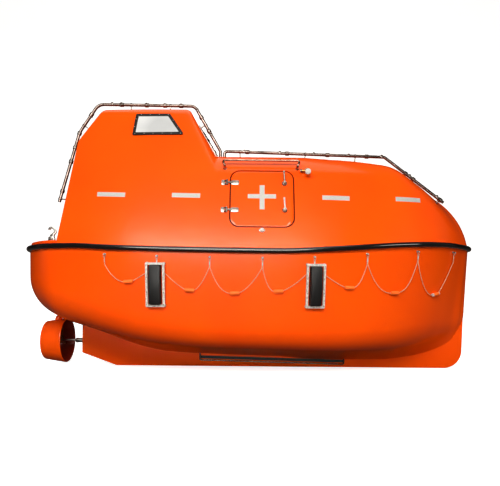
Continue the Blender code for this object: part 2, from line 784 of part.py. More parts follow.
def canopy():
    """Canopy shell with its openings, and the leaves cut from it."""
    outer = mirrored_loft(canopy_sections(0.0), flat_start=True)
    inner = mirrored_loft(canopy_sections(CANOPY_WALL, (1, 3, 1)), flat_start=True)
    shell = combine(outer, inner, "DIFFERENCE")

    _, _, half_x, half_y, radius = DOOR
    openings = (
        ("side_door_starboard", door_frame(), half_x, half_y, radius, DOOR_DRAFT),
        ("aft_hatch", aft_hatch_frame(), *AFT_HATCH, HATCH_DRAFT),
        ("fore_hatch", fore_hatch_frame(), *FORE_HATCH, FORE_DRAFT),
    )
    leaves = {}
    for name, frame, wide, high, corner, draft in openings:
        small = tapered_plug(wide - DOOR_GAP, high - DOOR_GAP, corner - DOOR_GAP, frame, draft)
        leaves[name] = combine(shell.copy(), small, "INTERSECT")
        plug = tapered_plug(wide, high, corner, frame, draft)
        if name == "side_door_starboard":
            shell = combine(shell, mirrored(plug), "DIFFERENCE")
        shell = combine(shell, plug, "DIFFERENCE")
    for name, frame, outline in window_frames():
        hole = prism(rounded(inset_outline(outline, WINDOW_LIP)), frame, -0.12, 0.06)
        shell = combine(shell, hole, "DIFFERENCE")
    place("canopy_shell", shell, ORANGE)

    starboard = leaves["side_door_starboard"]
    place("side_door_port", mirrored(starboard), ORANGE, to_port(side_hinge()))
    place("side_door_starboard", starboard, ORANGE, side_hinge())
    place("aft_hatch", leaves["aft_hatch"], ORANGE, aft_hinge())
    place("fore_hatch", leaves["fore_hatch"], ORANGE, fore_hinge())


def windows():
    """Rubber frames with a pane in each."""
    for name, frame, outline in window_frames():
        rim = prism(rounded(outline), frame, SEAT * 2, 0.014)
        hollow = prism(rounded(inset_outline(outline, WINDOW_LIP)), frame, -0.02, 0.03)
        rim = combine(rim, hollow, "DIFFERENCE")
        pane = prism(rounded(inset_outline(outline, WINDOW_LIP - 0.004)), frame, 0.003, 0.009)
        place(name, combine(rim, pane, "UNION"), RUBBER)


# Door and hatch fittings

HINGE_X = DOOR[0] - DOOR[2] - 0.028
HINGE_SET = 0.026        # hinge axis outside a hatch's edge
HINGE_OUT = 0.015        # hinge axis above the skin
KNUCKLE = 0.010
PIN = 0.0048


def to_port(point):
    return Vector((point[0], -point[1], point[2]))


def side_hinge():
    """The starboard door's hinge axis, at the middle of the door."""
    point, out, up = canopy_side(HINGE_X, DOOR[1])
    return point + out * HINGE_OUT


def hatch_hinge(frame, local, right, half_x, half_y):
    """A hatch's hinge axis above the skin, at a spot of the hatch's frame."""
    out = frame.to_3x3() @ Vector((0, 0, 1))
    run = frame.to_3x3() @ Vector(right)
    above = frame @ Vector(local) + out * 0.5
    spot = seated(CANOPY_SKIN, above, -out, run, half_x, half_y, (run, out))
    return spot.translation + out * HINGE_OUT


def aft_hinge():
    """The aft hatch's hinge axis, on its port edge."""
    return hatch_hinge(aft_hatch_frame(), (-AFT_HATCH[0] - HINGE_SET, 0.0, 0.0), (1, 0, 0), 0.06, 0.12)


def fore_hinge():
    """The fore hatch's hinge axis, along its upper edge."""
    return hatch_hinge(fore_hatch_frame(), (0.0, FORE_HATCH[1] + HINGE_SET, 0.0), (1, 0, 0), 0.12, 0.04)


def hinge_pieces(pivot, inward, out, span, plate_in, start):
    """The fixed and the moving half of a hinge.

    pivot is on the axis, inward points to the leaf and out away from the skin. span is half the
    hinge's length. plate_in is the moving plate's near and far edge, and start lies off the skin.
    """
    inward, out = Vector(inward).normalized(), Vector(out).normalized()
    along = out.cross(inward)
    knuckle = span * 0.34

    def plate(near, far, half, thick):
        middle = (near + far) / 2
        spot = pivot + inward * middle + out * start
        wide = abs(far - near) / 2
        frame = seated(CANOPY_SKIN, spot, -out, inward, wide, half, (inward, out))
        shape = rounded_box(wide, half, min(wide, half) * 0.5, 3)
        return prism(shape, frame, SEAT * 2, thick), (frame.translation - pivot).dot(out)

    side = Matrix.Translation(pivot) @ Matrix((inward, out, -along)).transposed().to_4x4()
    fixed, low = plate(-0.062, -0.018, span, 0.007)
    shapes = [fixed]
    for a, b in ((-span + 0.001, -knuckle - 0.001), (knuckle + 0.001, span - 0.001)):
        lug = [(-0.030, low + 0.002), (-0.004, low + 0.002), (-0.001, -0.002), (-0.006, 0.004),
               (-0.030, low + 0.006)]
        shapes.append(prism(lug, side, a + 0.0012, b - 0.0012))
        shapes.append(cone(pivot + along * a, pivot + along * b, KNUCKLE, sides=8))
    shapes.append(cone(pivot - along * (span - 0.004), pivot + along * (span - 0.004), PIN, sides=6))
    fixed = unite(shapes)

    near, far = plate_in
    strap, low = plate(near, far, span * 0.9, 0.007)
    arm = [(0.003, -0.004), (0.003, 0.005), (near + 0.016, low + 0.011), (near + 0.022, low + 0.003),
           (near + 0.004, low + 0.003)]
    moving = unite([strap, prism(arm, side, -knuckle * 0.85, knuckle * 0.85),
                    cone(pivot - along * knuckle, pivot + along * knuckle, KNUCKLE, sides=8)])
    bore = cone(pivot - along * span, pivot + along * span, PIN + 0.001, sides=6)
    return fixed, combine(moving, bore, "DIFFERENCE")


def door_fittings():
    """Hinges and handles of each side door."""
    _, out, up = canopy_side(HINGE_X, DOOR[1])
    turn = (Vector((1, 0, 0)), out)
    pivot = side_hinge()
    for label, k in zip(("upper", "lower"), HINGE_K):
        spot = pivot + up * (k - pivot.z) / up.z
        fixed, moving = hinge_pieces(spot, (1, 0, 0), out, 0.030, (0.042, 0.128), 0.3)
        place(f"door_hinge_{label}_port", mirrored(fixed), STEEL)
        place(f"door_hinge_{label}_starboard", fixed, STEEL)
        place(f"door_strap_{label}_port", mirrored(moving), STEEL, to_port(pivot))
        place(f"door_strap_{label}_starboard", moving, STEEL, pivot)
    for label, k in zip(("upper", "lower"), LATCH_K):
        frame = seated(CANOPY_SKIN, (LATCH_X, -2.0, k), FROM_STARBOARD, (1, 0, 0), 0.028, 0.028, turn)
        latch = unite([
            cone(frame @ Vector((0, 0, 0.0008)), frame @ Vector((0, 0, 0.020)), 0.028, 0.022, 12),
            cone(frame @ Vector((0, 0, 0.010)), frame @ Vector((0, 0, 0.036)), 0.011, sides=8),
            cone(frame @ Vector((0, -0.008, 0.030)), frame @ Vector((-0.006, 0.125, 0.040)),
                 0.010, 0.007, 6),
        ])
        place(f"door_handle_{label}_port", mirrored(latch), STEEL, to_port(pivot))
        place(f"door_handle_{label}_starboard", latch, STEEL, pivot)


def hatch_fittings():
    """A hinge on each hatch, in a fixed and a moving piece."""
    for name, frame, pivot, inward, span in (
            ("aft", aft_hatch_frame(), aft_hinge(), (1, 0, 0), 0.11),
            ("fore", fore_hatch_frame(), fore_hinge(), (0, -1, 0), 0.09)):
        turn = frame.to_3x3()
        fixed, moving = hinge_pieces(pivot, turn @ Vector(inward), turn @ Vector((0, 0, 1)), span,
                                     (0.040, 0.120), 0.3)
        place(f"{name}_hatch_hinge", fixed, STEEL)
        place(f"{name}_hatch_strap", moving, STEEL, pivot)


# Rail, deck and fenders

RAIL_HALF = 0.031
RAIL_DEEP = 0.040


def gunwale_fender():
    """Half-round rubber rail along the gunwale, right round the boat."""
    places = hull_places()
    last = places[-1]
    starboard = []
    for u in places:
        row = between(HULL_ROWS, u, 1)
        ahead = between(HULL_ROWS, min(u + 0.03, last), 1)
        behind = between(HULL_ROWS, max(u - 0.03, 0.0), 1)
        if u == 0.0:
            out = Vector((-1.0, 0.0, 0.0))
        elif u == last:
            out = Vector((1.0, 0.0, 0.0))
        else:
            run = Vector((ahead[0] - behind[0], ahead[1] - behind[1], 0.0)).normalized()
            out = Vector((-run.y, run.x, 0.0))
        reach = math.hypot(row[0] - row[3], row[1])
        slope = (1.0 - row[5]) * reach / (row[2] + RIM - row[6])
        edge = Vector((row[0], row[1], row[2]))
        ring = [edge + out * 0.001 + Vector((0, 0, RIM - 0.001)),
                edge + out * (0.001 - slope * (RIM + RAIL_HALF) * 0.8) + Vector((0, 0, -RAIL_HALF))]
        for j in range(6):
            angle = -math.pi / 2 + math.pi * j / 5
            reach_out = 0.005 + (RAIL_DEEP - 0.005) * math.cos(angle)
            ring.append(edge + out * reach_out + Vector((0, 0, RAIL_HALF * math.sin(angle))))
        starboard.append(ring)
    port = [[Vector((p.x, -p.y, p.z)) for p in ring] for ring in starboard[-2:0:-1]]
    place("gunwale_fender", skin(starboard + port, closed=True), RUBBER)


DECK_THICK = 0.036
DECK_INSET = 0.014


def aft_deck():
    """Deck moulding behind the tower, with a raised pad, and the height of its top."""
    end = AFT_FACE_X - SEAT * 2
    outline = []
    for u in hull_places():
        x, y = between(HULL_ROWS, u, 1)[:2]
        if x > end - 0.02:
            break
        length = math.hypot(x + 1.90, y)
        outline.append((x - (x + 1.90) / length * DECK_INSET, y * (1 - DECK_INSET / length)))
    outline.append((end, gunwale(end)[0] - DECK_INSET))
    points = outline + [(x, -y) for x, y in reversed(outline[1:])]
    low = gunwale(-2.2)[1] + RIM + SEAT
    top = low + DECK_THICK
    plate = prism(points, Matrix.Identity(4), low, top)
    edges = [e for e in plate.edges
             if all(v.co.z > low + 0.01 for v in e.verts) and any(v.co.x < end - 0.01 for v in e.verts)]
    bmesh.ops.bevel(plate, geom=edges, offset=0.014, segments=2, profile=0.5, affect="EDGES")
    pad = box((-2.36, -0.13, top - 0.01), (-2.25, 0.13, top + 0.045))
    place("aft_deck", combine(plate, pad, "UNION"), ORANGE)
    return top


FENDER_HALF = (0.100, 0.230)
FENDER_BAR = 0.024
FENDER_OFF = 0.020
PAD_HALF = 0.066         # rubber pad's half width


def fenders():
    """Framed fenders on the topsides: a steel frame with a rubber pad in it."""
    for label, x in zip(("aft", "fore"), FENDER_X):
        frame = seated(HULL_SKIN, (x, -2.0, FENDER_K), FROM_STARBOARD, (1, 0, 0), *FENDER_HALF)
        out = frame.to_3x3() @ Vector((0, 0, 1))
        rim = prism(rounded_box(*FENDER_HALF, 0.012, 1), frame, FENDER_OFF, FENDER_OFF + 0.028)
        hole = prism(rounded_box(FENDER_HALF[0] - FENDER_BAR, FENDER_HALF[1] - FENDER_BAR, 0.008, 1),
                     frame, 0.0, 0.08)
        shapes = [combine(rim, hole, "DIFFERENCE")]
        for sx in (-1, 1):
            for sy in (-1, 1):
                spot = frame @ Vector((sx * (FENDER_HALF[0] - 0.012), sy * (FENDER_HALF[1] - 0.012),
                                       FENDER_OFF + 0.010))
                foot = footing(HULL_SKIN, spot, -out, 0.009)[0]
                shapes.append(cone(foot, spot, 0.009, sides=6))
        half_x = PAD_HALF
        half_y = FENDER_HALF[1] - FENDER_BAR + 0.004
        profile = ((-half_y, FENDER_OFF + 0.003), (half_y, FENDER_OFF + 0.003), (half_y, 0.056),
                   (half_y - 0.02, 0.068), (0.010, 0.080), (-half_y + 0.02, 0.056), (-half_y, 0.044))
        sides = []
        for sx in (-half_x, -half_x + 0.014, half_x - 0.014, half_x):
            drop = 0.012 if abs(sx) > half_x - 0.001 else 0.0
            sides.append([frame @ Vector((sx, y, z if z < 0.03 else z - drop)) for y, z in profile])
        shapes.append(skin(sides))
        whole = unite(shapes)
        place(f"fender_{label}_port", mirrored(whole), RUBBER)
        place(f"fender_{label}_starboard", whole, RUBBER)


# Pipes and rails

PIPE_RADIUS = 0.0175
PIPE_Y = -0.45

# Corners of the starboard pipes, each with its bend radius; the roof ends are seated later
TOWER_PIPE = (
    ((-2.155, -0.60, 1.930), 0.0),
    ((-1.975, -0.47, 2.760), 0.30),
    ((-1.765, PIPE_Y, 3.092), 0.12),
    ((-0.646, PIPE_Y, 3.080), 0.09),
    ((-0.345, PIPE_Y, 2.560), 0.05),
)
ROOF_PIPE = (
    ((-0.298, PIPE_Y, 2.560), 0.035),
    ((1.557, PIPE_Y, 2.507), 0.06),
    ((2.230, -0.50, 1.976), 0.0),
)
TEE_RADIUS = 0.026
TOWER_TEES = (0.075, 0.155, 0.245, 0.335, 0.44, 0.53, 0.62, 0.72, 0.80, 0.885)
ROOF_TEES = (0.11, 0.29, 0.47, 0.65)


def spray_pipe(path, shares, feet):
    """A pipe with tees and small heads along it, and feet on the canopy."""
    shapes = [tube(path, PIPE_RADIUS, 8)]
    side = Vector((0.0, -1.0, 0.35)).normalized()
    for share in shares:
        point, along = on_line(path, share)
        shapes.append(cone(point - along * 0.019, point + along * 0.019, TEE_RADIUS, sides=6))
        shapes.append(cone(point, point + side * 0.038, 0.011, 0.014, 5))
    for share, aim in feet:
        point, _ = on_line(path, share)
        shapes.append(cone(point, footing(CANOPY_SKIN, point, aim, 0.009)[0], 0.009, sides=6))
    return unite(shapes)


def on_line(path, share):
    """The point and direction at a share of a path's length."""
    spans = [(b - a).length for a, b in zip(path, path[1:])]
    left = share * sum(spans)
    for a, b, span in zip(path, path[1:], spans):
        if left <= span:
            return a.lerp(b, left / span), (b - a).normalized()
        left -= span
    return path[-1], (path[-1] - path[-2]).normalized()


def pipes():
    """Water-spray pipes over the tower and over the cabin roof, on each side."""
    down = Vector((0.0, 0.0, -1.0))
    last = Vector(TOWER_PIPE[-1][0])
    foot = skin_hit(CANOPY_SKIN, last, down) + Vector((0, 0, 0.0022))
    tower = bent(TOWER_PIPE + ((tuple(foot), 0.0),), 4)
    feet = ((0.03, (1, 0.1, 0)), (0.30, (0.8, 0.2, -0.5)), (0.47, down), (0.68, down),
            (0.865, (-0.75, 0, -0.6)))
    starboard = spray_pipe(tower, TOWER_TEES, feet)
    place("tower_spray_pipe_port", mirrored(starboard), STEEL)
    place("tower_spray_pipe_starboard", starboard, STEEL)

    first = Vector(ROOF_PIPE[0][0])
    foot = skin_hit(CANOPY_SKIN, first, down) + Vector((0, 0, 0.0022))
    roof = bent((((tuple(foot)), 0.0),) + ROOF_PIPE, 4)
    feet = ((0.10, down), (0.56, down), (0.97, (-0.45, 0.25, -0.86)))
    starboard = spray_pipe(roof, ROOF_TEES, feet)
    place("roof_spray_pipe_port", mirrored(starboard), STEEL)
    place("roof_spray_pipe_starboard", starboard, STEEL)


def door_rails():
    """Rail above each side door, bent in to the canopy at both ends, and the hose connection."""
    _, out, up = canopy_side(0.0, 2.262)
    ends = []
    for x, step in ((-0.270, -0.03), (0.508, 0.03)):
        foot, square = footing(CANOPY_SKIN, canopy_side(x, 2.262)[0] + out * 0.2, -out, 0.013)
        elbow = foot + square * 0.050
        ends.append([(foot, 0.0), (elbow, 0.022), (elbow + up * 0.065 + Vector((step, 0, 0)), 0.022)])
    rail = tube(bent(ends[0] + ends[1][::-1], 3), 0.0125, 6)
    place("door_rail_port", mirrored(rail), STEEL)
    place("door_rail_starboard", rail, STEEL)

    frame = seated(CANOPY_SKIN, (0.612, -2.0, 2.222), FROM_STARBOARD, (1, 0, 0), 0.034, 0.034)
    body = unite([
        cone(frame @ Vector((0, 0, 0.0008)), frame @ Vector((0, 0, 0.012)), 0.034, sides=12),
        cone(frame @ Vector((0, 0, 0.008)), frame @ Vector((0, 0, 0.060)), 0.021, sides=10),
        cone(frame @ Vector((0, -0.02, 0.045)), frame @ Vector((0, -0.02, 0.092)), 0.031, sides=14),
    ])
    place("hose_connection", body, BRASS)


# Propulsion and steering

def ring_solid(stations, sides=24):
    """A ring about the shaft: stations of x, outer radius, inner radius."""
    rings = []
    for i in range(sides):
        angle = math.tau * i / sides
        spoke = Vector((0.0, math.cos(angle), math.sin(angle)))
        outer = [Vector((x, 0, SHAFT_K)) + spoke * ro for x, ro, ri in stations]
        inner = [Vector((x, 0, SHAFT_K)) + spoke * ri for x, ro, ri in reversed(stations)]
        rings.append(outer + inner)
    return skin(rings, closed=True)


# Propeller blade sections: radius, chord, pitch angle in degrees
BLADE = ((0.025, 0.075, 62), (0.085, 0.125, 45), (0.150, 0.150, 33), (0.190, 0.110, 28),
         (0.212, 0.045, 26))
BLADE_SHAPE = ((-0.5, 0.0015), (0.0, 0.0050), (0.5, 0.0015), (0.5, -0.0015), (0.0, -0.0030),
               (-0.5, -0.0015))


def propulsion():
    """Stern tube, propeller with its shaft, and the steering nozzle on its stock."""
    tube_body = cone((-2.0703, 0, SHAFT_K), (-2.153, 0, SHAFT_K), 0.0275, sides=12)
    bore = cone((-2.090, 0, SHAFT_K), (-2.20, 0, SHAFT_K), 0.014 + PIN_GAP, sides=12)
    place("stern_tube", combine(tube_body, bore, "DIFFERENCE"), STEEL)

    shapes = [
        cone((-2.0920, 0, SHAFT_K), (-2.36, 0, SHAFT_K), 0.014, sides=12),
        cone((-2.335, 0, SHAFT_K), (-2.415, 0, SHAFT_K), 0.040, 0.030, 12),
        cone((-2.413, 0, SHAFT_K), (-2.455, 0, SHAFT_K), 0.029, 0.008, 12),
    ]
    for b in range(4):
        turn = Matrix.Rotation(math.tau * b / 4, 3, "X")
        rings = []
        for radius, chord, pitch in BLADE:
            angle = math.radians(pitch)
            ring = []
            for along, thick in BLADE_SHAPE:
                across = along * chord
                swing = across * math.cos(angle) - thick * math.sin(angle)
                ahead = across * math.sin(angle) * 0.75 + thick * math.cos(angle)
                spot = Vector((ahead, swing, math.sqrt(max(radius ** 2 - swing ** 2, 0.0001))))
                ring.append(Vector((NOZZLE_X, 0, SHAFT_K)) + turn @ spot)
            rings.append(ring)
        shapes.append(skin(rings))
    place("propeller", unite(shapes), BRONZE, (NOZZLE_X, 0, SHAFT_K))

    ring = ring_solid(((-2.258, 0.273, 0.262), (-2.262, 0.275, 0.258), (-2.375, 0.258, 0.240),
                       (-2.510, 0.2365, 0.221), (-2.515, 0.2345, 0.225)))
    stock = cone((NOZZLE_X, 0, SHAFT_K + 0.249), (NOZZLE_X, 0, 0.90), 0.022, sides=16)
    boss = cone((NOZZLE_X, 0, SHAFT_K + 0.245), (NOZZLE_X, 0, SHAFT_K + 0.30), 0.045, 0.034, 12)
    place("steering_nozzle", unite([ring, boss, stock]), ORANGE, (NOZZLE_X, 0, SHAFT_K))


# Fall release gear

SIDE_VIEW = Matrix(((1, 0, 0, 0), (0, 0, -1, 0), (0, 1, 0, 0), (0, 0, 0, 1)))
HOOK_OUTLINE = ((-0.025, -0.02), (0.025, -0.02), (0.030, 0.05), (0.055, 0.085), (0.050, 0.135),
                (0.010, 0.160), (-0.035, 0.150), (-0.050, 0.118), (-0.034, 0.108), (-0.020, 0.126),
                (0.008, 0.130), (0.026, 0.112), (0.022, 0.085), (-0.022, 0.050))


def release_hook(label, x, base_k, height):
    """A hook between two cheek plates on a foot, tipping on a pin."""
    pin = Vector((x, 0.0, base_k + height))
    foot = box((x - 0.055, -0.045, base_k), (x + 0.055, 0.045, base_k + 0.012))
    cheek = [(x - 0.045, base_k + 0.005), (x + 0.045, base_k + 0.005),
             (x + 0.035, pin.z + 0.030), (x - 0.035, pin.z + 0.030)]
    shapes = [foot]
    for y in (-0.033, 0.021):
        shapes.append(prism(cheek, SIDE_VIEW, y, y + 0.012))
    shapes.append(cone(pin - Vector((0, 0.040, 0)), pin + Vector((0, 0.040, 0)), 0.009, sides=10))
    place(f"{label}_hook_post", unite(shapes), STEEL)

    hook = prism([(pin.x + a, pin.z + b) for a, b in HOOK_OUTLINE], SIDE_VIEW, -0.015, 0.015)
    bore = cone(pin - Vector((0, 0.05, 0)), pin + Vector((0, 0.05, 0)), 0.0098, sides=10)
    place(f"{label}_hook", combine(hook, bore, "DIFFERENCE"), STEEL, pin)


def bow_bracket():
    """Post in the bow that carries the fore hook under its hatch."""
    post = box((2.00, -0.07, BENCH_K - 0.30), (2.16, 0.07, 1.62))
    post = combine(post, box((1.9, -0.2, 0.3), (2.0605, 0.2, BENCH_K + SEAT)), "DIFFERENCE")
    place("bow_bracket", post, INNER)


# Lifelines

ROPE_OFF = 0.018
FLOAT_HALF = 0.050
FLOAT_THICK = 3.8        # float radius over rope radius
ROPE_BEHIND = (0.0130, 0.0095)      # rope's distance from the hull above and behind a fender
PEG_RISE = 0.0125
PEG_TURN = ((0.0, 0.0), (0.018, 0.010))                     # along, down from the peg's top
LOOP_TURN = 0.021
LOOP_SHARES = (-0.88, -0.55, 0.55, 0.88)


def loop_points(x0, k0, x1, k1, sag, shift):
    """One hanging loop as x, k and thickness, without the second peg."""
    half = (x1 - x0) / 2 - LOOP_TURN
    middle = (x0 + x1) / 2

    def base(x):
        return k0 + (k1 - k0) * (x - x0) / (x1 - x0)

    def low(q):
        return 0.03 + (sag - 0.03) * math.sqrt(1 - q * q)

    points = [(x0 + along, base(x0 + along) - down, 1.0) for along, down in PEG_TURN]
    for q in LOOP_SHARES[:2]:
        x = middle + q * half
        points.append((x + shift * (1 - q * q), base(x) - low(q), 1.0))
    for offset, thick in ((-FLOAT_HALF - 0.004, 1.0), (-FLOAT_HALF, FLOAT_THICK),
                          (FLOAT_HALF, FLOAT_THICK), (FLOAT_HALF + 0.004, 1.0)):
        points.append((middle + offset + shift, base(middle + offset) - low(offset / half), thick))
    for q in LOOP_SHARES[2:]:
        x = middle + q * half
        points.append((x + shift * (1 - q * q), base(x) - low(q), 1.0))
    along, down = PEG_TURN[1]
    points.append((x1 - along, base(x1 - along) - down, 1.0))
    return points


def lifeline_points(sign):
    """Centres and thicknesses along a lifeline, peg to peg, with a float on each loop."""
    pegs = [(x, gunwale(x)[1] - EYE_DROP + PEG_RISE) for x in EYE_X]
    route = []
    for (x0, k0), (x1, k1), sag, shift in zip(pegs, pegs[1:], LOOP_SAG, FLOAT_SHIFT):
        route += loop_points(x0, k0, x1, k1, sag, shift)
    route.append((*pegs[-1], 1.0))
    points = []
    for x, k, thick in route:
        point, out = topside(x, k)
        behind = any(abs(x - centre) < 0.145 for centre in FENDER_X)
        off = ROPE_BEHIND[k < FENDER_K + 0.25] if behind else ROPE_OFF
        spot = point + out * (off if thick == 1.0 else off + 0.003)
        points.append((spot.x, -sign * spot.y, spot.z - DRAFT, thick))
    return points


def lifeline(label, sign):
    curve = bpy.data.curves.new(f"lifeline_{label}", "CURVE")
    curve.dimensions = "3D"
    curve.bevel_depth = ROPE_RADIUS
    curve.bevel_resolution = 2
    curve.use_fill_caps = True
    points = lifeline_points(sign)
    spline = curve.splines.new("POLY")
    spline.points.add(len(points) - 1)
    for target, (x, y, z, thick) in zip(spline.points, points):
        target.co = (x, y, z, 1.0)
        target.radius = thick
    curve.materials.append(ROPE)
    obj = bpy.data.objects.new(f"lifeline_{label}", curve)
    bpy.context.scene.collection.objects.link(obj)


def keel_coolers():
    """Cooling pipes beside the keel, bent in to the hull at both ends."""
    y = -(KEEL_HALF + 0.020)
    ends = []
    for x, k in ((-0.60, 0.080), (1.18, 0.040)):
        low = Vector((x, y, k))
        turn = (Vector((1, 0, 0)), Vector((0, 0, -1)))
        seat = seated(HULL_SKIN, low, (0, 0, 1), (1, 0, 0), 0.011, 0.011, turn)
        ends.append((seat.translation - Vector((0, 0, SEAT)), low))
    path = bent(((ends[0][0], 0.0), (ends[0][1], 0.018), (ends[1][1], 0.018), (ends[1][0], 0.0)), 3)
    cooler = tube(path, 0.011, 6)
    place("keel_cooler_port", mirrored(cooler), STEEL)
    place("keel_cooler_starboard", cooler, STEEL)


hull_shell()
interior()
canopy()
windows()
door_fittings()
hatch_fittings()
gunwale_fender()
deck_k = aft_deck()
fenders()
pipes()
door_rails()
propulsion()
release_hook("aft", -2.47, deck_k + SEAT, 0.10)
bow_bracket()
release_hook("fore", 2.08, 1.62 + SEAT, 0.10)
lifeline("starboard", -1.0)
lifeline("port", 1.0)
keel_coolers()
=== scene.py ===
# %% [markdown]
# # An enclosed lifeboat, step by step
# The boat's CAD model is loaded as a frame, and every piece that this script makes is placed
# in that same frame, in metres: X runs to the bow, Y to port and Z up from the water line.

import json
import math

import bpy
from mathutils import Matrix, Vector
from mathutils.bvhtree import BVHTree

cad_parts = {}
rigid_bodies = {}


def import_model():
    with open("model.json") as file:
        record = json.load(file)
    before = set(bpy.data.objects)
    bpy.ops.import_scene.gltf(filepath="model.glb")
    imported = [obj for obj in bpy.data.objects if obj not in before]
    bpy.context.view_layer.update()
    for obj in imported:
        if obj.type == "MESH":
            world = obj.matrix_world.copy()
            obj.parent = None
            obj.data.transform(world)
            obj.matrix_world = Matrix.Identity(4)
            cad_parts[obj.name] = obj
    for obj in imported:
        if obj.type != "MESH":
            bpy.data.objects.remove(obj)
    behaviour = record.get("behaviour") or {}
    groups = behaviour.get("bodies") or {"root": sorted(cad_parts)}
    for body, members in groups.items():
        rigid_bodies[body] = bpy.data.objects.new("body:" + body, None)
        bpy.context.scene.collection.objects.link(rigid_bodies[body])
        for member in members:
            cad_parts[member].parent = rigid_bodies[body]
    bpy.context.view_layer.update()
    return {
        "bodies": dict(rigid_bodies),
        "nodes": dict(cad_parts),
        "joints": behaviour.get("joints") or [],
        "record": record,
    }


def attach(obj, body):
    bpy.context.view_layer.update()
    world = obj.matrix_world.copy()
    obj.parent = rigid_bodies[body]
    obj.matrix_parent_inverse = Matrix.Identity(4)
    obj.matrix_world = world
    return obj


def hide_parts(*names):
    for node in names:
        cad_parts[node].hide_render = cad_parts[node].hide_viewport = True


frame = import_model()
NODES = frame["nodes"]

# %% [markdown]
# ## Camera
# The photograph looks straight at the starboard side from about six metres, with the eye a
# little below the rail. A lens as long as the sensor is wide spreads a metre, seen from a
# metre away, over the picture's 500 pixels. The horizon lies below the picture's middle,
# which is a small upward shift, and the picture leans half a degree.

# %% Camera
DRAFT = 0.600            # keel's flat below the water line
EYE = (0.0, -6.26, 0.351)
SENSOR, FOCAL = 36.0, 36.0    # millimetres
ROLL = -0.5              # degrees
SHIFT = (0.002, 0.094)   # shares of the picture's width


def clear_selection():
    """Deselect everything, because an operator acts on all that is selected."""
    if bpy.context.object and bpy.context.object.mode != "OBJECT":
        bpy.ops.object.mode_set(mode="OBJECT")
    bpy.ops.object.select_all(action="DESELECT")


clear_selection()
bpy.ops.object.camera_add(location=EYE, rotation=(math.radians(90), math.radians(ROLL), 0))
camera = bpy.context.object
camera.name = "camera_starboard"
camera.data.sensor_width, camera.data.lens = SENSOR, FOCAL
camera.data.shift_x, camera.data.shift_y = SHIFT
bpy.context.scene.camera = camera
print("camera:", -EYE[1], "m from the centre plane, shift", SHIFT)

# %% [markdown]
# ## Stage
# The boat stands in front of a plain pale sweep, as in a studio: a floor just under the keel
# that curves up into a wall. Two planes would meet in a line that shows. Here a plane's far
# edge is extruded upwards instead, and one wide bevel rounds the corner.

# %% Floor
FLOOR_Z = -0.603         # three millimetres under the keel
FLOOR_CORNERS = ((-30, -14), (30, -14), (-30, 9), (30, 9))
WALL_HIGH, WALL_BEND = 16, 5.0
clear_selection()
bpy.ops.mesh.primitive_plane_add(size=1.0)
sweep = bpy.context.object
sweep.name = "studio_sweep"
for vertex, corner in zip(sweep.data.vertices, FLOOR_CORNERS):
    vertex.co = (*corner, FLOOR_Z)
bpy.ops.object.mode_set(mode="EDIT")
bpy.ops.mesh.select_mode(type="EDGE")
bpy.ops.mesh.select_all(action="DESELECT")
bpy.ops.object.mode_set(mode="OBJECT")
for edge in sweep.data.edges:
    edge.select = all(sweep.data.vertices[v].co.y > 8 for v in edge.vertices)
bpy.ops.object.mode_set(mode="EDIT")
bpy.ops.mesh.extrude_region_move(TRANSFORM_OT_translate={"value": (0, 0, WALL_HIGH)})
bpy.ops.object.mode_set(mode="OBJECT")
bend = sweep.modifiers.new("bend", "BEVEL")
bend.width = WALL_BEND
bend.segments = 24
bpy.ops.object.modifier_apply(modifier="bend")
bpy.ops.object.shade_smooth()
print("floor:", len(sweep.data.polygons), "faces at", FLOOR_Z, "m")

# %% [markdown]
# ## Lamps
# Large soft lamps leave no hard shadows on the glossy hull. The key is a wide box above the
# starboard side, whose reflection is the pale line along the shoulders. A weak low strip
# lifts the bottom a little, two lamps fill the bow and the roof, and one is for the port side.

# %% Lamps
WARM = (1.0, 0.97, 0.91)


def lamp(name, place, target, size, watts, spread=180):
    """A soft square lamp at place that looks at target, with its beam's angle in degrees."""
    clear_selection()
    bpy.ops.object.light_add(type="AREA", location=place)
    made = bpy.context.object
    made.name = name
    made.data.shape = "RECTANGLE"
    made.data.size, made.data.size_y = size
    made.data.energy = watts
    made.data.color = WARM
    made.data.spread = math.radians(spread)
    made.rotation_euler = (Vector(target) - Vector(place)).to_track_quat("-Z", "Y").to_euler()
    print("lamp", name, "-", watts, "W")


lamp("key_starboard", (-1.2, -8.4, 4.9), (-0.3, 0, 0.55), (7.5, 2.6), 790)
lamp("keel_soft", (-1.0, -7.6, 0.4), (-0.6, 0, -0.4), (6.0, 0.5), 22, spread=50)
lamp("fill_bow", (7.0, -5.0, 2.4), (1.5, 0, 0.4), (3.0, 1.6), 140)
lamp("top_soft", (-0.5, -0.3, 8.4), (0, 0, 0.5), (10.0, 6.0), 230)
lamp("port_soft", (0.0, 8.0, 4.0), (0, 0, 0.8), (8.0, 4.0), 400)

# %% [markdown]
# ## Air and exposure
# The camera sees a bright wall beyond the paper. The boat is lit by little of it, so that the
# lamps give it its shape: a Light Path node tells the two kinds of ray apart. A gamma a
# little under 1 deepens the shades, as in the photograph.

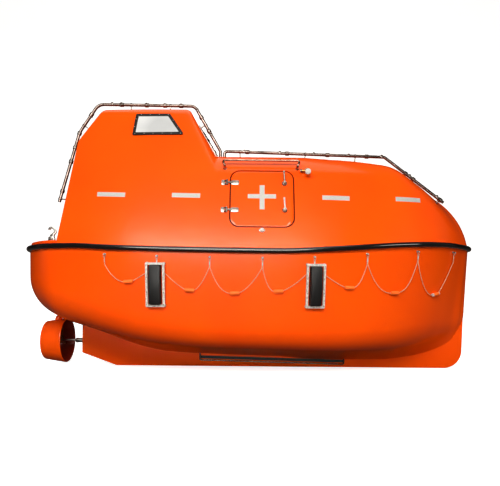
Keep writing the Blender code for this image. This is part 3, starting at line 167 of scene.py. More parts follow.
# %% Air and exposure
AIR_FOR_BOAT, AIR_FOR_CAMERA = 0.12, 0.95
world = bpy.data.worlds.new("studio_air")
bpy.context.scene.world = world
world.use_nodes = True
air = world.node_tree
background = air.nodes["Background"]
background.inputs["Color"].default_value = (1.0, 0.97, 0.94, 1.0)
seen = air.nodes.new("ShaderNodeLightPath").outputs["Is Camera Ray"]
level = air.nodes.new("ShaderNodeMapRange")
level.inputs["To Min"].default_value = AIR_FOR_BOAT
level.inputs["To Max"].default_value = AIR_FOR_CAMERA
air.links.new(seen, level.inputs["Value"])
air.links.new(level.outputs["Result"], background.inputs["Strength"])
bpy.context.scene.view_settings.view_transform = "Standard"
bpy.context.scene.view_settings.gamma = 0.86
print("air:", AIR_FOR_BOAT, "on the boat,", AIR_FOR_CAMERA, "for the camera")

# %% [markdown]
# ## Materials
# Each finish starts from what the real one is. Colours are written as sRGB hex values, as a
# paint chart gives them, and one function turns them linear. Another one adds a node with its
# settings and links, so that a finish reads as a short list.

# %% Colour and node helpers


def linear(code):
    """Linear colour from an sRGB hex value."""
    channels = [int(code[i:i + 2], 16) / 255 for i in (0, 2, 4)]
    return tuple(c / 12.92 if c <= 0.04045 else ((c + 0.055) / 1.055) ** 2.4
                 for c in channels) + (1.0,)


def add_node(tree, kind, inputs=None, **settings):
    """Add a node with its settings. An input is a value, or a socket to link from."""
    made = tree.nodes.new(kind)
    for key, value in settings.items():
        setattr(made, key, value)
    for key, value in (inputs or {}).items():
        if isinstance(value, bpy.types.NodeSocket):
            tree.links.new(value, made.inputs[key])
        else:
            made.inputs[key].default_value = value
    return made


# %% [markdown]
# ### Parts of a finish
# Patterns read object coordinates, which are metres here, so a scale of 1 / 0.012 makes cells
# of twelve millimetres. Most finishes need one noise of a real size, which runs the colour
# between two close tones and often raises the surface too. Unlike an image, it needs no
# unwrapping.

# %% Parts of a finish


def finish(name, colour, roughness, **values):
    """A material with one Principled shader, and its tree, shader and object coordinates."""
    made = bpy.data.materials.new(name)
    made.use_nodes = True
    tree = made.node_tree
    shader = tree.nodes["Principled BSDF"]
    shader.inputs["Base Color"].default_value = linear(colour)
    shader.inputs["Roughness"].default_value = roughness
    for key, value in values.items():
        shader.inputs[key.replace("_", " ")].default_value = value
    place = add_node(tree, "ShaderNodeTexCoord").outputs["Object"]
    return made, tree, shader, place


def noise(tree, place, size, detail=2.0, **inputs):
    """Noise whose cells are of a size in metres."""
    inputs.update({"Vector": place, "Scale": 1 / size, "Detail": detail})
    return add_node(tree, "ShaderNodeTexNoise", inputs).outputs["Fac"]


def two_tone(tree, shader, factor, dark, light, low=0.3, high=0.7):
    """Let the colour run from dark to light as factor goes from low to high."""
    ramp_node = add_node(tree, "ShaderNodeValToRGB", {"Fac": factor})
    first, last = ramp_node.color_ramp.elements
    first.position, first.color = low, linear(dark)
    last.position, last.color = high, linear(light)
    tree.links.new(ramp_node.outputs["Color"], shader.inputs["Base Color"])


def bumpy(tree, shader, height, millimetres):
    """Raise the surface by up to millimetres where height is 1."""
    bump = add_node(tree, "ShaderNodeBump", {"Height": height, "Distance": millimetres / 1000})
    tree.links.new(bump.outputs["Normal"], shader.inputs["Normal"])


def rough_from(tree, shader, factor, low, high):
    """Let the roughness run from low to high with factor."""
    spread = add_node(tree, "ShaderNodeMapRange", {"Value": factor, "To Min": low, "To Max": high})
    tree.links.new(spread.outputs["Result"], shader.inputs["Roughness"])


def speckled(name, colour, roughness, size, dark, light, low=0.3, high=0.7, detail=2.0,
             relief=0.0, **values):
    """A finish whose tone, and relief in millimetres, follow one noise of a size in metres."""
    made, tree, shader, place = finish(name, colour, roughness, **values)
    specks = noise(tree, place, size, detail)
    two_tone(tree, shader, specks, dark, light, low, high)
    if relief:
        bumpy(tree, shader, specks, relief)
    return made


# %% [markdown]
# ### Gelcoat
# The mouldings are glass-reinforced polyester with a sprayed orange gelcoat that took its
# gloss from a polished mould. The laminate under it shrinks a little as it cures, so a very
# shallow waviness about 150 mm wide breaks up long reflections, and a finer one of 12 mm
# lies over it. The colour drifts slightly over a metre, as sprayed colour does. The inside
# of the nozzle gets a darker red-brown copy of the same gelcoat, which is painted shade.

# %% Orange gelcoat


def gelcoat(name, dark, light):
    """Glossy moulded gelcoat between two close tones."""
    made, tree, shader, place = finish(name, light, 0.20, IOR=1.5)
    two_tone(tree, shader, noise(tree, place, 1 / 1.1), dark, light)
    wave = noise(tree, place, 0.15, 1.0, Roughness=0.3)
    print_through = noise(tree, place, 0.012)
    mixed = add_node(tree, "ShaderNodeMath", {0: print_through, 1: 0.05, 2: wave},
                     operation="MULTIPLY_ADD")
    bumpy(tree, shader, mixed.outputs["Value"], 0.9)
    return made


GELCOAT = gelcoat("orange_gelcoat", "FC5800", "FF6000")
# painted shade: a darker red-brown copy of the gelcoat stands for the shade inside the nozzle
NOZZLE_RED = gelcoat("nozzle_inside_painted_shade", "8E2410", "A22E15")
print("gelcoats:", GELCOAT.name, NOZZLE_RED.name)

# %% [markdown]
# ### Rubber
# The rail is extruded black rubber. A thin coat over it gives the wet sheen, and a fine bloom
# of 60 mm patches breaks the pale streak along it. The fenders' pads are moulded of a duller
# rubber, the window frames and the wheel of a matt one. The door seals are rubber, and their
# very dark red is painted shade for the gaps round the leaves.
# Grain of 2 to 4 mm is coarser than the real one, so that it shows in the render.

# %% Rubber
RUBBER, tree, shader, place = finish("black_rubber", "080809", 0.15, IOR=1.52, Coat_Weight=1.0,
                                     Coat_Roughness=0.12)
bloom = noise(tree, place, 0.06, 4.0)
two_tone(tree, shader, bloom, "060607", "0E0E10")
rough_from(tree, shader, bloom, 0.10, 0.20)
bumpy(tree, shader, noise(tree, place, 0.003), 0.12)

GASKET, tree, shader, place = finish("rubber_gasket", "050506", 0.5, IOR=1.5)
bumpy(tree, shader, noise(tree, place, 0.002), 0.1)

PAD_RUBBER = speckled("moulded_pad_rubber", "0C0C0E", 0.38, 0.004, "0A0A0B", "121214",
                      detail=3.0, relief=0.15, IOR=1.52)
# painted shade: the seal's very dark red stands for the shade in the gap round each leaf
SEAL_RED = speckled("door_seal_painted_gap_shade", "3A0802", 0.75, 0.004, "330701", "420A03", IOR=1.45)
print("rubbers:", RUBBER.name, GASKET.name, PAD_RUBBER.name, SEAL_RED.name)

# %% [markdown]
# ### Metals
# Hinges, screws and levers are polished stainless steel, and the hooks are satin. Polishing
# leaves faint long scratches, so a noise that is stretched along the boat blurs what the
# steel reflects. The tone varies in patches about 90 mm across, where salt water leaves light
# tea stains on the fittings. The pipes are a dark brown-grey, and the grab rails' warm
# red-brown is a painted reflection of the orange canopy. The propeller is bronze, and the
# hose valve brass.

# %% Metals
SCRATCHES = (30.0, 400.0, 400.0)    # cells in each metre, so 33 mm long and 2.5 mm wide


def metal(name, dark, light, roughness, blur):
    """A metal whose tone varies in patches, with a brushed blur along the boat."""
    made, tree, shader, place = finish(name, light, roughness, Metallic=1.0)
    stretched = add_node(tree, "ShaderNodeMapping", {"Vector": place, "Scale": SCRATCHES})
    rough_from(tree, shader, noise(tree, stretched.outputs["Vector"], 1.0),
               roughness, roughness + blur)
    two_tone(tree, shader, noise(tree, place, 0.09, 3.0), dark, light)
    return made


POLISHED = metal("polished_stainless_steel", "86807A", "BBB5AF", 0.28, 0.14)
# a dark brown-grey steel for the pipes
PIPE_STEEL = metal("dark_brown_pipe_steel", "594C46", "8D7E77", 0.20, 0.12)
# painted reflection: the rail steel's warm red-brown stands for the orange canopy it reflects
RAIL_STEEL = metal("rail_steel_painted_orange_reflection", "8E6655", "C09A8A", 0.16, 0.12)
SATIN = metal("satin_stainless_steel", "A8A39E", "C8C4BF", 0.26, 0.12)
DARK_BRONZE = metal("propeller_bronze", "8A5A38", "B98255", 0.30, 0.15)
BRASS = metal("valve_brass", "A98445", "C9A45C", 0.22, 0.12)
print("metals:", POLISHED.name, PIPE_STEEL.name, RAIL_STEEL.name, SATIN.name)

# %% [markdown]
# ### Glazing
# The windows are polycarbonate sheet. The pane is a glossy pale sheet with a slow haze, and
# not a clear one: its pale colour and haze are a painted reflection of the pale studio.

# %% Glazing
# painted reflection: the pale tones and their slow haze stand for the studio seen in the pane
GLAZING = speckled("glazing_painted_studio_reflection", "CFD0CF", 0.06, 0.45, "C6C8CA", "EFF0F1",
                   detail=1.0, IOR=1.58)
print("glazing:", GLAZING.name)

# %% [markdown]
# ### Painted fender frames
# The fenders' frames are welded flat steel in a pale paint. It is worn to a greyer tone in
# patches of 20 mm, where the frame has rubbed along a ship's side.

# %% Fender paint
ZINC = speckled("painted_fender_frame", "CFCDC7", 0.38, 0.02, "B3B0A9", "D9D7D2", 0.35, 0.6,
                detail=4.0, relief=0.15, IOR=1.5)
print("fender frame:", ZINC.name)

# %% [markdown]
# ### Reflective tape
# Retro-reflective tape is a foil of small sealed cells, whose walls show as a pale net. The
# distance to a Voronoi cell's edge draws such a net. The cells are 4 mm wide here.

# %% Reflective foil
TAPE, tree, shader, place = finish("reflective_tape", "B9BDC2", 0.34, IOR=1.5)
cells = add_node(tree, "ShaderNodeTexVoronoi", {"Vector": place, "Scale": 1 / 0.004},
                 feature="DISTANCE_TO_EDGE")
two_tone(tree, shader, cells.outputs["Distance"], "B3B2B0", "CCCBC8", 0.0, 0.25)
bumpy(tree, shader, cells.outputs["Distance"], 0.05)
print("tape:", TAPE.name)

# %% [markdown]
# ### Rope
# The lifelines are laid polypropylene rope that has weathered to a pale salmon. Its strands
# cross it at a slant, which diagonal bands of 6 mm draw, with a little unevenness.

# %% Rope
ROPE, tree, shader, place = finish("polypropylene_rope", "DFA582", 0.7)
lay = add_node(tree, "ShaderNodeTexWave", {"Vector": place, "Scale": 1 / 0.006, "Distortion": 1.5},
               wave_type="BANDS", bands_direction="DIAGONAL")
two_tone(tree, shader, lay.outputs["Fac"], "C98560", "F0CDB0")
bumpy(tree, shader, lay.outputs["Fac"], 0.6)
print("rope:", ROPE.name)

# %% [markdown]
# ### Foam and nylon
# The floats are closed-cell foam with open pores of 2 mm in their skin. Caps, knobs and the
# whippings of the rope are white nylon, which is moulded and has hardly any grain.

# %% Foam and nylon
FLOAT_FOAM = speckled("float_foam", "F8600E", 0.55, 0.002, "FF6A14", "FF8430", detail=3.0,
                      relief=0.2)
WHITE_CAP = speckled("white_nylon", "D2D2D0", 0.4, 0.004, "C6C6C3", "D8D8D6", IOR=1.5)
print("foam and nylon:", FLOAT_FOAM.name, WHITE_CAP.name)

# %% [markdown]
# ### Inside finishes
# The inside is a pale flow-coated moulding with a fine fleck. The non-slip sole has ridges
# round hollows of 12 mm, for which the distance to a Voronoi cell's middle is the height.
# The engine is enamelled, and its sprayed coat has the faint relief of orange peel.

# %% Inside finishes
LINER = speckled("pale_inner_moulding", "DEDCD4", 0.45, 0.006, "CFCDC5", "E4E2DB", 0.4, 0.6,
                 detail=3.0, relief=0.3)
NONSLIP, tree, shader, place = finish("non_slip_sole", "B9BBB6", 0.65)
treads = add_node(tree, "ShaderNodeTexVoronoi", {"Vector": place, "Scale": 1 / 0.012})
two_tone(tree, shader, treads.outputs["Distance"], "C3C5C0", "A3A5A0", 0.2, 0.6)
bumpy(tree, shader, treads.outputs["Distance"], 1.0)
ENGINE_PAINT = speckled("engine_enamel", "5F6B70", 0.4, 0.005, "566166", "687479", relief=0.15)
print("inside:", LINER.name, NONSLIP.name, ENGINE_PAINT.name)

# %% [markdown]
# ### Studio paper
# The paper is pale to the camera. Its bounce is kept low, as with black flags beside a set,
# so that the bottom of the hull stays dark: a light ray meets a grey surface, and a camera
# ray meets the paper with a slight glow.

# %% Studio paper
FLOOR, tree, shader, place = finish("studio_paper", "F6F6F4", 0.85, Emission_Strength=0.78)
shader.inputs["Emission Color"].default_value = linear("FFFFFF")
two_tone(tree, shader, noise(tree, place, 0.4, 3.0), "F3F3F1", "F8F8F6")
seen = add_node(tree, "ShaderNodeLightPath").outputs["Is Camera Ray"]
flag = add_node(tree, "ShaderNodeBsdfDiffuse", {"Color": linear("625D59")})
paper = add_node(tree, "ShaderNodeMixShader",
                 {0: seen, 1: flag.outputs["BSDF"], 2: shader.outputs["BSDF"]})
tree.links.new(paper.outputs["Shader"], tree.nodes["Material Output"].inputs["Surface"])
sweep.data.materials.append(FLOOR)
print("materials:", len(bpy.data.materials))

# %% [markdown]
# ## Ways of making a piece
# Every piece starts from a primitive that is put in its place and then shaped. An operator
# works on what is selected and active, so the first steps name the new object, select one
# alone, and add a modifier and apply it at once.

# %% Naming, selecting and changing


def named(name, material=None):
    """Name the active object, give it its material, and leave edit mode."""
    if bpy.context.object.mode != "OBJECT":
        bpy.ops.object.mode_set(mode="OBJECT")
    made = bpy.context.object
    made.name = name
    made.data.name = name
    if material:
        made.data.materials.clear()
        made.data.materials.append(material)
    return made


def picked(obj):
    """Select one object alone and make it active."""
    clear_selection()
    obj.select_set(True)
    bpy.context.view_layer.objects.active = obj
    return obj


def change(obj, kind, **settings):
    """Add a modifier with its settings and apply it."""
    picked(obj)
    step = obj.modifiers.new("step", kind)
    for key, value in settings.items():
        setattr(step, key, value)
    bpy.ops.object.modifier_apply(modifier="step")
    return obj


def cut(obj, tool, operation="DIFFERENCE"):
    """An exact cut, union or intersection with a tool, which is then removed."""
    change(obj, "BOOLEAN", operation=operation, solver="EXACT", object=tool)
    bpy.data.objects.remove(tool, do_unlink=True)
    return obj


def edit_all(obj):
    """Open an object in edit mode with all of its mesh selected."""
    picked(obj)
    bpy.ops.object.mode_set(mode="EDIT")
    bpy.ops.mesh.select_all(action="SELECT")


def outward():
    """Turn all faces outward and leave edit mode."""
    bpy.ops.mesh.select_all(action="SELECT")
    bpy.ops.mesh.normals_make_consistent(inside=False)
    bpy.ops.object.mode_set(mode="OBJECT")


def eased(obj, width, segments, degrees=50):
    """Round the edges that are sharper than an angle."""
    return change(obj, "BEVEL", width=width, segments=segments, limit_method="ANGLE",
                  angle_limit=math.radians(degrees))


# %% [markdown]
# ### Clean meshes
# A mirror leaves double points along its plane, and a shape built in rows has open ends. Both
# are closed before a boolean or a wall needs them. Shading by angle keeps edges crisp.

# %% Clean meshes


def cleaned(obj, distance=0.00002):
    """Merge double points and turn the faces outward."""
    edit_all(obj)
    bpy.ops.mesh.remove_doubles(threshold=distance)
    outward()
    return obj


def closed(obj):
    """Fill the open ends of a piece that was built in rings."""
    edit_all(cleaned(obj))
    bpy.ops.mesh.fill_holes(sides=0)
    outward()
    return obj


def smooth(obj, degrees=32):
    """Smooth shading with edges left sharp over an angle."""
    picked(obj)
    bpy.ops.object.shade_smooth_by_angle(angle=math.radians(degrees))
    return obj


# %% [markdown]
# ### Copies, twins and places
# What repeats is modelled once and copied, each copy with its own mesh. The boat's two sides
# mirror each other, so a fitting is made on the starboard side, which the photograph shows,
# and its port twin is mirrored in the mesh. Heights in this script are measured from the
# keel's flat, so a finished piece moves down by the draft before it rides on its body.

# %% Copies, twins and places


def copied(obj, name):
    """A copy with its own mesh."""
    twin = obj.copy()
    twin.data = obj.data.copy()
    twin.name = name
    twin.data.name = name
    bpy.context.scene.collection.objects.link(twin)
    return twin


def to_port(obj, name):
    """The port twin of a starboard piece, mirrored in its mesh."""
    twin = copied(obj, name)
    twin.data.transform(Matrix.Scale(-1.0, 4, (0, 1, 0)))
    twin.data.flip_normals()
    return twin


def joined(name, parts):
    """Join pieces into one object."""
    picked(parts[0])
    for part in parts[1:]:
        part.select_set(True)
    bpy.ops.object.join()
    return named(name)


def settled(obj, body, *nodes):
    """Lower a piece from keel heights to its place, and let it ride on a body."""
    obj.data.transform(Matrix.Translation((0, 0, -DRAFT)))
    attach(obj, body)
    if nodes:
        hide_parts(*nodes)
    print(obj.name, "on", body, "-", len(obj.data.polygons), "faces")
    return obj


def both_sides(piece, name, body="boat", node=None):
    """Settle a starboard piece and its port twin, each with its side in its name."""
    twin = to_port(piece, f"{name}_port")
    piece.name = piece.data.name = f"{name}_starboard"
    for side, made in (("starboard", piece), ("port", twin)):
        settled(made, f"door_{side}" if body == "door" else body,
                *([f"{node}_{side}"] if node else []))
    return piece, twin


# %% [markdown]
# ### Grids, plates and turned pieces
# Three primitives make nearly every piece. A grid is laid over a moulding's table of
# sections, a circle is moved on to an outline and drawn out into a plate, and a disc is drawn
# out step by step into a turned piece, as on a lathe.

# %% Grids, plates and turned pieces


def grid(name, rows, material=None, wrap=False):
    """A grid primitive whose points are moved on to rows of points."""
    rows = [list(row) + ([row[0]] if wrap else []) for row in rows]
    columns, lines = len(rows[0]) - 1, len(rows) - 1
    clear_selection()
    bpy.ops.mesh.primitive_grid_add(x_subdivisions=columns, y_subdivisions=lines, size=1.0)
    made = named(name, material)
    for vertex in made.data.vertices:
        i = round((vertex.co.x + 0.5) * columns)
        j = round((vertex.co.y + 0.5) * lines)
        vertex.co = rows[j][i]
    return made


def plate(name, outline, frame, low, high, material=None, bevel=0.0, segments=3):
    """An outline in a frame's X and Y, drawn out along its Z from low to high."""
    clear_selection()
    bpy.ops.mesh.primitive_circle_add(vertices=len(outline), fill_type="NGON")
    made = named(name, material)
    for vertex, (x, y) in zip(made.data.vertices, outline):
        vertex.co = (x, y, low)
    edit_all(made)
    bpy.ops.mesh.extrude_region_move(TRANSFORM_OT_translate={"value": (0, 0, high - low)})
    outward()
    if bevel:
        eased(made, bevel, segments, 40)
    made.data.transform(frame)
    return made


def turned(name, steps, frame, material=None, sides=32):
    """A disc drawn out step by step. Each step is a radius and a height on the frame's Z."""
    clear_selection()
    bpy.ops.mesh.primitive_circle_add(vertices=sides, radius=1.0, fill_type="NGON")
    made = named(name, material)
    made.data.transform(Matrix.Translation((0, 0, steps[0][1])) @ Matrix.Diagonal(
        (steps[0][0], steps[0][0], 1.0, 1.0)))
    edit_all(made)
    for (r0, z0), (r1, z1) in zip(steps, steps[1:]):
        bpy.ops.mesh.extrude_region_move(TRANSFORM_OT_translate={"value": (0, 0, z1 - z0)})
        bpy.ops.transform.resize(value=(r1 / r0, r1 / r0, 1.0), center_override=(0, 0, z1))
    outward()
    made.data.transform(frame)
    return smooth(made)


# %% [markdown]
# ### Lines with a thickness
# A curve gives a line of points a round thickness. A pipe becomes a mesh, so that it can be
# joined to its fittings, and a rope stays a curve.

# %% Lines with a thickness


def thick_line(path, radius, resolution):
    """A curve of one open spline through a line of points, with a round thickness."""
    clear_selection()
    bpy.ops.curve.primitive_nurbs_path_add()
    line = bpy.context.object
    line.data.splines.clear()
    spline = line.data.splines.new("POLY")
    spline.points.add(len(path) - 1)
    for target, point in zip(spline.points, path):
        target.co = (*point, 1.0)
    line.data.bevel_depth = radius
    line.data.bevel_resolution = resolution
    line.data.use_fill_caps = True
    return line


def pipe(name, path, radius, material=None, resolution=6):
    """A line of points with a round thickness, made into a mesh."""
    thick_line(path, radius, resolution)
    bpy.ops.object.convert(target="MESH")
    return smooth(named(name, material), 40)


# %% [markdown]
# ### Frames and paths
# A fitting is drawn in its own small frame, with X to the right, Y up and Z out of what it
# sits on, and then moved to its place on the boat. A path's corners are given as a point
# and a radius, as on a drawing, and turned into arcs here.

# %% Frames and paths
SEAT = 0.0003            # clearance under a seated piece
UNMOVED = Matrix.Identity(4)


def panel_frame(point, right, up):
    """A frame with X to the right, Y up and Z out of a panel."""
    right, up = Vector(right).normalized(), Vector(up).normalized()
    return Matrix.Translation(point) @ Matrix((right, up, right.cross(up))).transposed().to_4x4()


def aimed(point, axis):
    """A frame at a point whose Z runs along an axis."""
    z = Vector(axis).normalized()
    x = z.orthogonal().normalized()
    return panel_frame(point, x, z.cross(x))


def arc(centre, first, last, steps, count):
    """The first count points of an arc from first to last in steps."""
    a, b = first - centre, last - centre
    angle = a.angle(b)
    shares = [i / steps for i in range(count)]
    return [centre + (math.sin((1 - s) * angle) * a + math.sin(s * angle) * b) / math.sin(angle)
            for s in shares]


def bent(corners, steps=8):
    """A path through corners, each a point and the radius of its bend."""
    path = []
    for i, (point, radius) in enumerate(corners):
        point = Vector(point)
        if radius == 0.0 or i in (0, len(corners) - 1):
            path.append(point)
            continue
        back = (Vector(corners[i - 1][0]) - point).normalized()
        front = (Vector(corners[i + 1][0]) - point).normalized()
        half = back.angle(front) / 2
        reach = radius / math.tan(half)
        centre = point + (back + front).normalized() * radius / math.sin(half)
        path += arc(centre, point + back * reach, point + front * reach, steps, steps + 1)
    return path


# %% [markdown]
# ### Outlines
# A plate's outline gets the same arcs at its corners. Drawn in, it is the edge of a hole.

# %% Outlines


def rounded(outline, steps=8):
    """A closed outline of x, y and corner radius, with its corners made arcs."""
    points = []
    for i, (x, y, radius) in enumerate(outline):
        if radius == 0.0:
            points.append((x, y))
            continue
        before, after = outline[i - 1], outline[(i + 1) % len(outline)]
        turn = bent((((*before[:2], 0.0), 0.0), ((x, y, 0.0), radius),
                     ((*after[:2], 0.0), 0.0)), steps)[1:-1]
        points += [(p.x, p.y) for p in turn]
    return points


def rounded_box(half_x, half_y, radius, steps=8):
    """A rectangle's outline about the middle, with round corners."""
    return rounded(((half_x, half_y, radius), (-half_x, half_y, radius),
                    (-half_x, -half_y, radius), (half_x, -half_y, radius)), steps)


def inset_outline(outline, inset):
    """A convex outline of x, y and radius drawn in by inset."""
    area = sum(outline[i - 1][0] * outline[i][1] - outline[i][0] * outline[i - 1][1]
               for i in range(len(outline)))
    turn = 1.0 if area > 0 else -1.0
    moved = []
    for i, (x, y, radius) in enumerate(outline):
        here = Vector((x, y))
        normals = []
        for a, b in ((i - 1, i), (i, (i + 1) % len(outline))):
            run = (Vector(outline[b][:2]) - Vector(outline[a][:2])).normalized()
            normals.append(Vector((-run.y, run.x)) * turn)
        normal = (normals[0] + normals[1]).normalized()
        here += normal * inset / normal.dot(normals[0])
        moved.append((here.x, here.y, max(radius - inset, 0.006)))
    return moved


# %% [markdown]
# ### Setting pieces down on a skin
# The mouldings curve both ways, so the place of a fitting is found as a fitter does it: a
# straight line is sent on to the skin. A plate is laid on the highest of 25 such points, so
# that no corner of it sinks into the moulding.

# %% Setting pieces down on a skin


def skin_tree(obj):
    """A search tree of an object's faces, for setting pieces down on it."""
    return BVHTree.FromPolygons([v.co.copy() for v in obj.data.vertices],
                                [tuple(p.vertices) for p in obj.data.polygons])


def skin_hit(tree, start, aim):
    """Where a straight line from start along aim meets a skin."""
    return tree.ray_cast(Vector(start), Vector(aim).normalized())[0]


def seated(tree, start, aim, right, half_x, half_y, turn=None):
    """A frame for a plate that rests on a skin, with Z outward and X to the right."""
    aim, right = Vector(aim).normalized(), Vector(right).normalized()
    up = (-aim).cross(right)

    def touch(a, b):
        return skin_hit(tree, Vector(start) + right * a + up * b, aim)

    if turn is None:
        right_run = (touch(half_x, 0.0) - touch(-half_x, 0.0)).normalized()
        out = right_run.cross(touch(0.0, half_y) - touch(0.0, -half_y)).normalized()
    else:
        right_run, out = turn
    middle = touch(0.0, 0.0)
    shares = (-1.0, -0.5, 0.0, 0.5, 1.0)
    lift = max((touch(a * half_x, b * half_y) - middle).dot(out) for a in shares for b in shares)
    return panel_frame(middle + out * lift, right_run, out.cross(right_run))


# %% [markdown]
# ## Sections of the hull and of the canopy
# Both mouldings are read from short tables of stations measured on the photograph. Between
# them the values run smoothly and never overshoot. Each section is two straight lines joined
# by an arc: bottom, bilge and topside on the hull, and roof, shoulder and side on the canopy.

# %% Hull table
HULL_WALL = 0.060
RIM = 0.030              # hull rim above the middle of the rubber rail
KEEL_HALF = 0.038        # half the keel's thickness
SHAFT_K = 0.306          # height of the propeller shaft
NOZZLE_X = -2.375        # place of the nozzle's stock

# gunwale x, gunwale y, gunwale k, spine x, spine k, bilge share, bilge k, bilge radius
HULL_ROWS = (
    (-2.620, 0.000, 1.400, -1.90, 0.450, 1.000, 0.810, 0.46),
    (-2.588, 0.300, 1.400, -1.90, 0.450, 0.995, 0.800, 0.46),
    (-2.492, 0.570, 1.400, -1.90, 0.450, 0.985, 0.770, 0.46),
    (-2.345, 0.770, 1.400, -1.88, 0.440, 0.970, 0.725, 0.46),
    (-2.150, 0.930, 1.400, -1.84, 0.425, 0.955, 0.665, 0.43),
    (-1.850, 1.015, 1.400, -1.74, 0.385, 0.940, 0.600, 0.40),
    (-1.490, 1.080, 1.382, -1.49, 0.290, 0.925, 0.515, 0.36),
    (-1.000, 1.130, 1.367, -1.00, 0.175, 0.910, 0.420, 0.33),
    (-0.400, 1.150, 1.358, -0.40, 0.145, 0.900, 0.365, 0.30),
    (0.300, 1.150, 1.354, 0.30, 0.125, 0.895, 0.350, 0.30),
    (0.935, 1.120, 1.385, 0.935, 0.090, 0.870, 0.340, 0.32),
    (1.590, 0.980, 1.439, 1.59, 0.090, 0.780, 0.360, 0.38),
    (2.000, 0.800, 1.464, 1.94, 0.120, 0.680, 0.410, 0.45),
    (2.300, 0.570, 1.475, 2.18, 0.160, 0.600, 0.470, 0.50),
    (2.520, 0.340, 1.476, 2.36, 0.200, 0.560, 0.530, 0.50),
    (2.660, 0.160, 1.476, 2.48, 0.230, 0.620, 0.580, 0.40),
    (2.722, 0.000, 1.476, 2.53, 0.250, 0.780, 0.620, 0.35),
)

# centreline of the keel: x, k, corner radius
KEEL_LINE = (
    (-1.55, 0.42, 0.0), (-2.07, 0.60, 0.0), (-2.07, 0.156, 0.012), (-1.64, 0.000, 0.05),
    (2.645, 0.000, 0.22), (2.668, 0.700, 0.0), (2.45, 0.75, 0.0), (2.25, 0.28, 0.0),
    (-1.00, 0.24, 0.0),
)

print("hull table:", len(HULL_ROWS), "stations")

# %% [markdown]
# ### The canopy's lines
# The tower and the cabin roof are one line along the middle, whose rounded corners stations
# would need many rows for. Its shoulders and camber come from two short runs. From the cabin
# on, stations like those of the hull lean forward over the bow.

# %% Canopy table
CANOPY_INSET = 0.012     # canopy's foot inside the hull's edge
LEAN = 0.305             # canopy side, inward run for each metre of height

# centreline of the tower and cabin roof: x, k, corner radius
AFT_FACE_X = -2.06
TOWER_LINE = (
    (-1.940, 2.637, 0.10), (-1.700, 3.050, 0.09), (-0.690, 3.038, 0.08), (-0.378, 2.520, 0.04),
    (0.600, 2.518, 0.0), (0.935, 2.497, 0.0),
)
TOWER_SHOULDER, CABIN_SHOULDER = 0.12, 0.35
TOWER_CAMBER, CABIN_CAMBER = 0.075, 0.11
SHOULDER_RUN = ((-1.9, 0.03), (-1.72, TOWER_SHOULDER), (-0.67, TOWER_SHOULDER),
                (-0.36, CABIN_SHOULDER))
CAMBER_RUN = ((-1.94, 0.03), (-1.72, TOWER_CAMBER), (-0.67, TOWER_CAMBER), (-0.36, CABIN_CAMBER))

# foot x, foot y, roof x, roof k, shoulder share, shoulder k, shoulder radius
BOW_ROWS = (
    (0.300, 1.138, 0.300, 2.518, 0.720, 2.428, 0.35),
    (0.935, 1.108, 0.935, 2.499, 0.727, 2.410, 0.35),
    (1.590, 0.968, 1.50, 2.472, 0.765, 2.350, 0.34),
    (2.000, 0.788, 1.66, 2.455, 0.790, 2.165, 0.44),
    (2.300, 0.558, 1.69, 2.432, 0.850, 2.035, 0.74),
    (2.520, 0.328, 1.70, 2.415, 0.885, 1.945, 0.92),
    (2.658, 0.148, 1.70, 2.410, 0.905, 1.925, 0.98),
    (2.712, 0.000, 1.70, 2.410, 0.911, 1.920, 1.00),
)
BOW_ROW = 9              # the hull row level with the first of them
print("canopy table:", len(TOWER_LINE), "corners and", len(BOW_ROWS), "stations")

# %% [markdown]
# ### Reading the tables
# A straight run between stations would leave a knuckle at each of them, and a common spline
# swings past them. A cubic whose slopes are harmonic means does neither. At the stem and the
# stern the row beyond the last is its mirror image, so that the two sides meet smoothly.

# %% Reading the tables


def between(rows, u, mirror_column):
    """A row at place u of a table, read smoothly and without overshoot."""
    i = min(int(u), len(rows) - 2)
    t = u - i
    values = []
    for c in range(len(rows[0])):
        sign = -1.0 if c == mirror_column else 1.0
        before = rows[i - 1][c] if i > 0 else sign * rows[1][c]
        after = rows[i + 2][c] if i + 2 < len(rows) else sign * rows[-2][c]
        a, b = rows[i][c], rows[i + 1][c]
        slopes = []
        for d0, d1 in ((a - before, b - a), (b - a, after - b)):
            slopes.append(2 * d0 * d1 / (d0 + d1) if d0 * d1 > 0 else 0.0)
        h = t * t * (3 - 2 * t)
        values.append(a + (b - a) * h + slopes[0] * t * (1 - t) ** 2 - slopes[1] * t * t * (1 - t))
    return values


# %% [markdown]
# ### One section
# A section is two straight lines with an arc at their corner, in the section's plane. Every
# station has the same number of points, so that a grid fits over all of them, and the arc
# shrinks where a line is too short for its radius.

# %% One section


def corner_line(start, corner, end, radius, counts):
    """Two straight lines joined by an arc at their corner, in plane coordinates."""
    start, corner, end = Vector(start), Vector(corner), Vector(end)
    back, front = start - corner, end - corner
    if back.length < 1e-6 or front.length < 1e-6:
        total = sum(counts)
        return [start.lerp(end, i / total) for i in range(total + 1)]
    half = back.angle(front) / 2
    reach = min(radius / math.tan(half), 0.92 * back.length, 0.92 * front.length)
    first = corner + back.normalized() * reach
    last = corner + front.normalized() * reach
    points = [start.lerp(first, i / counts[0]) for i in range(counts[0])]
    if math.pi / 2 - half < 0.01:
        points += [first.lerp(last, i / counts[1]) for i in range(counts[1])]
    else:
        radius = reach * math.tan(half)
        split = (back.normalized() + front.normalized()).normalized()
        centre = corner + split * radius / math.sin(half)
        points += arc(centre, first, last, counts[1], counts[1])
    return points + [last.lerp(end, i / counts[2]) for i in range(counts[2] + 1)]


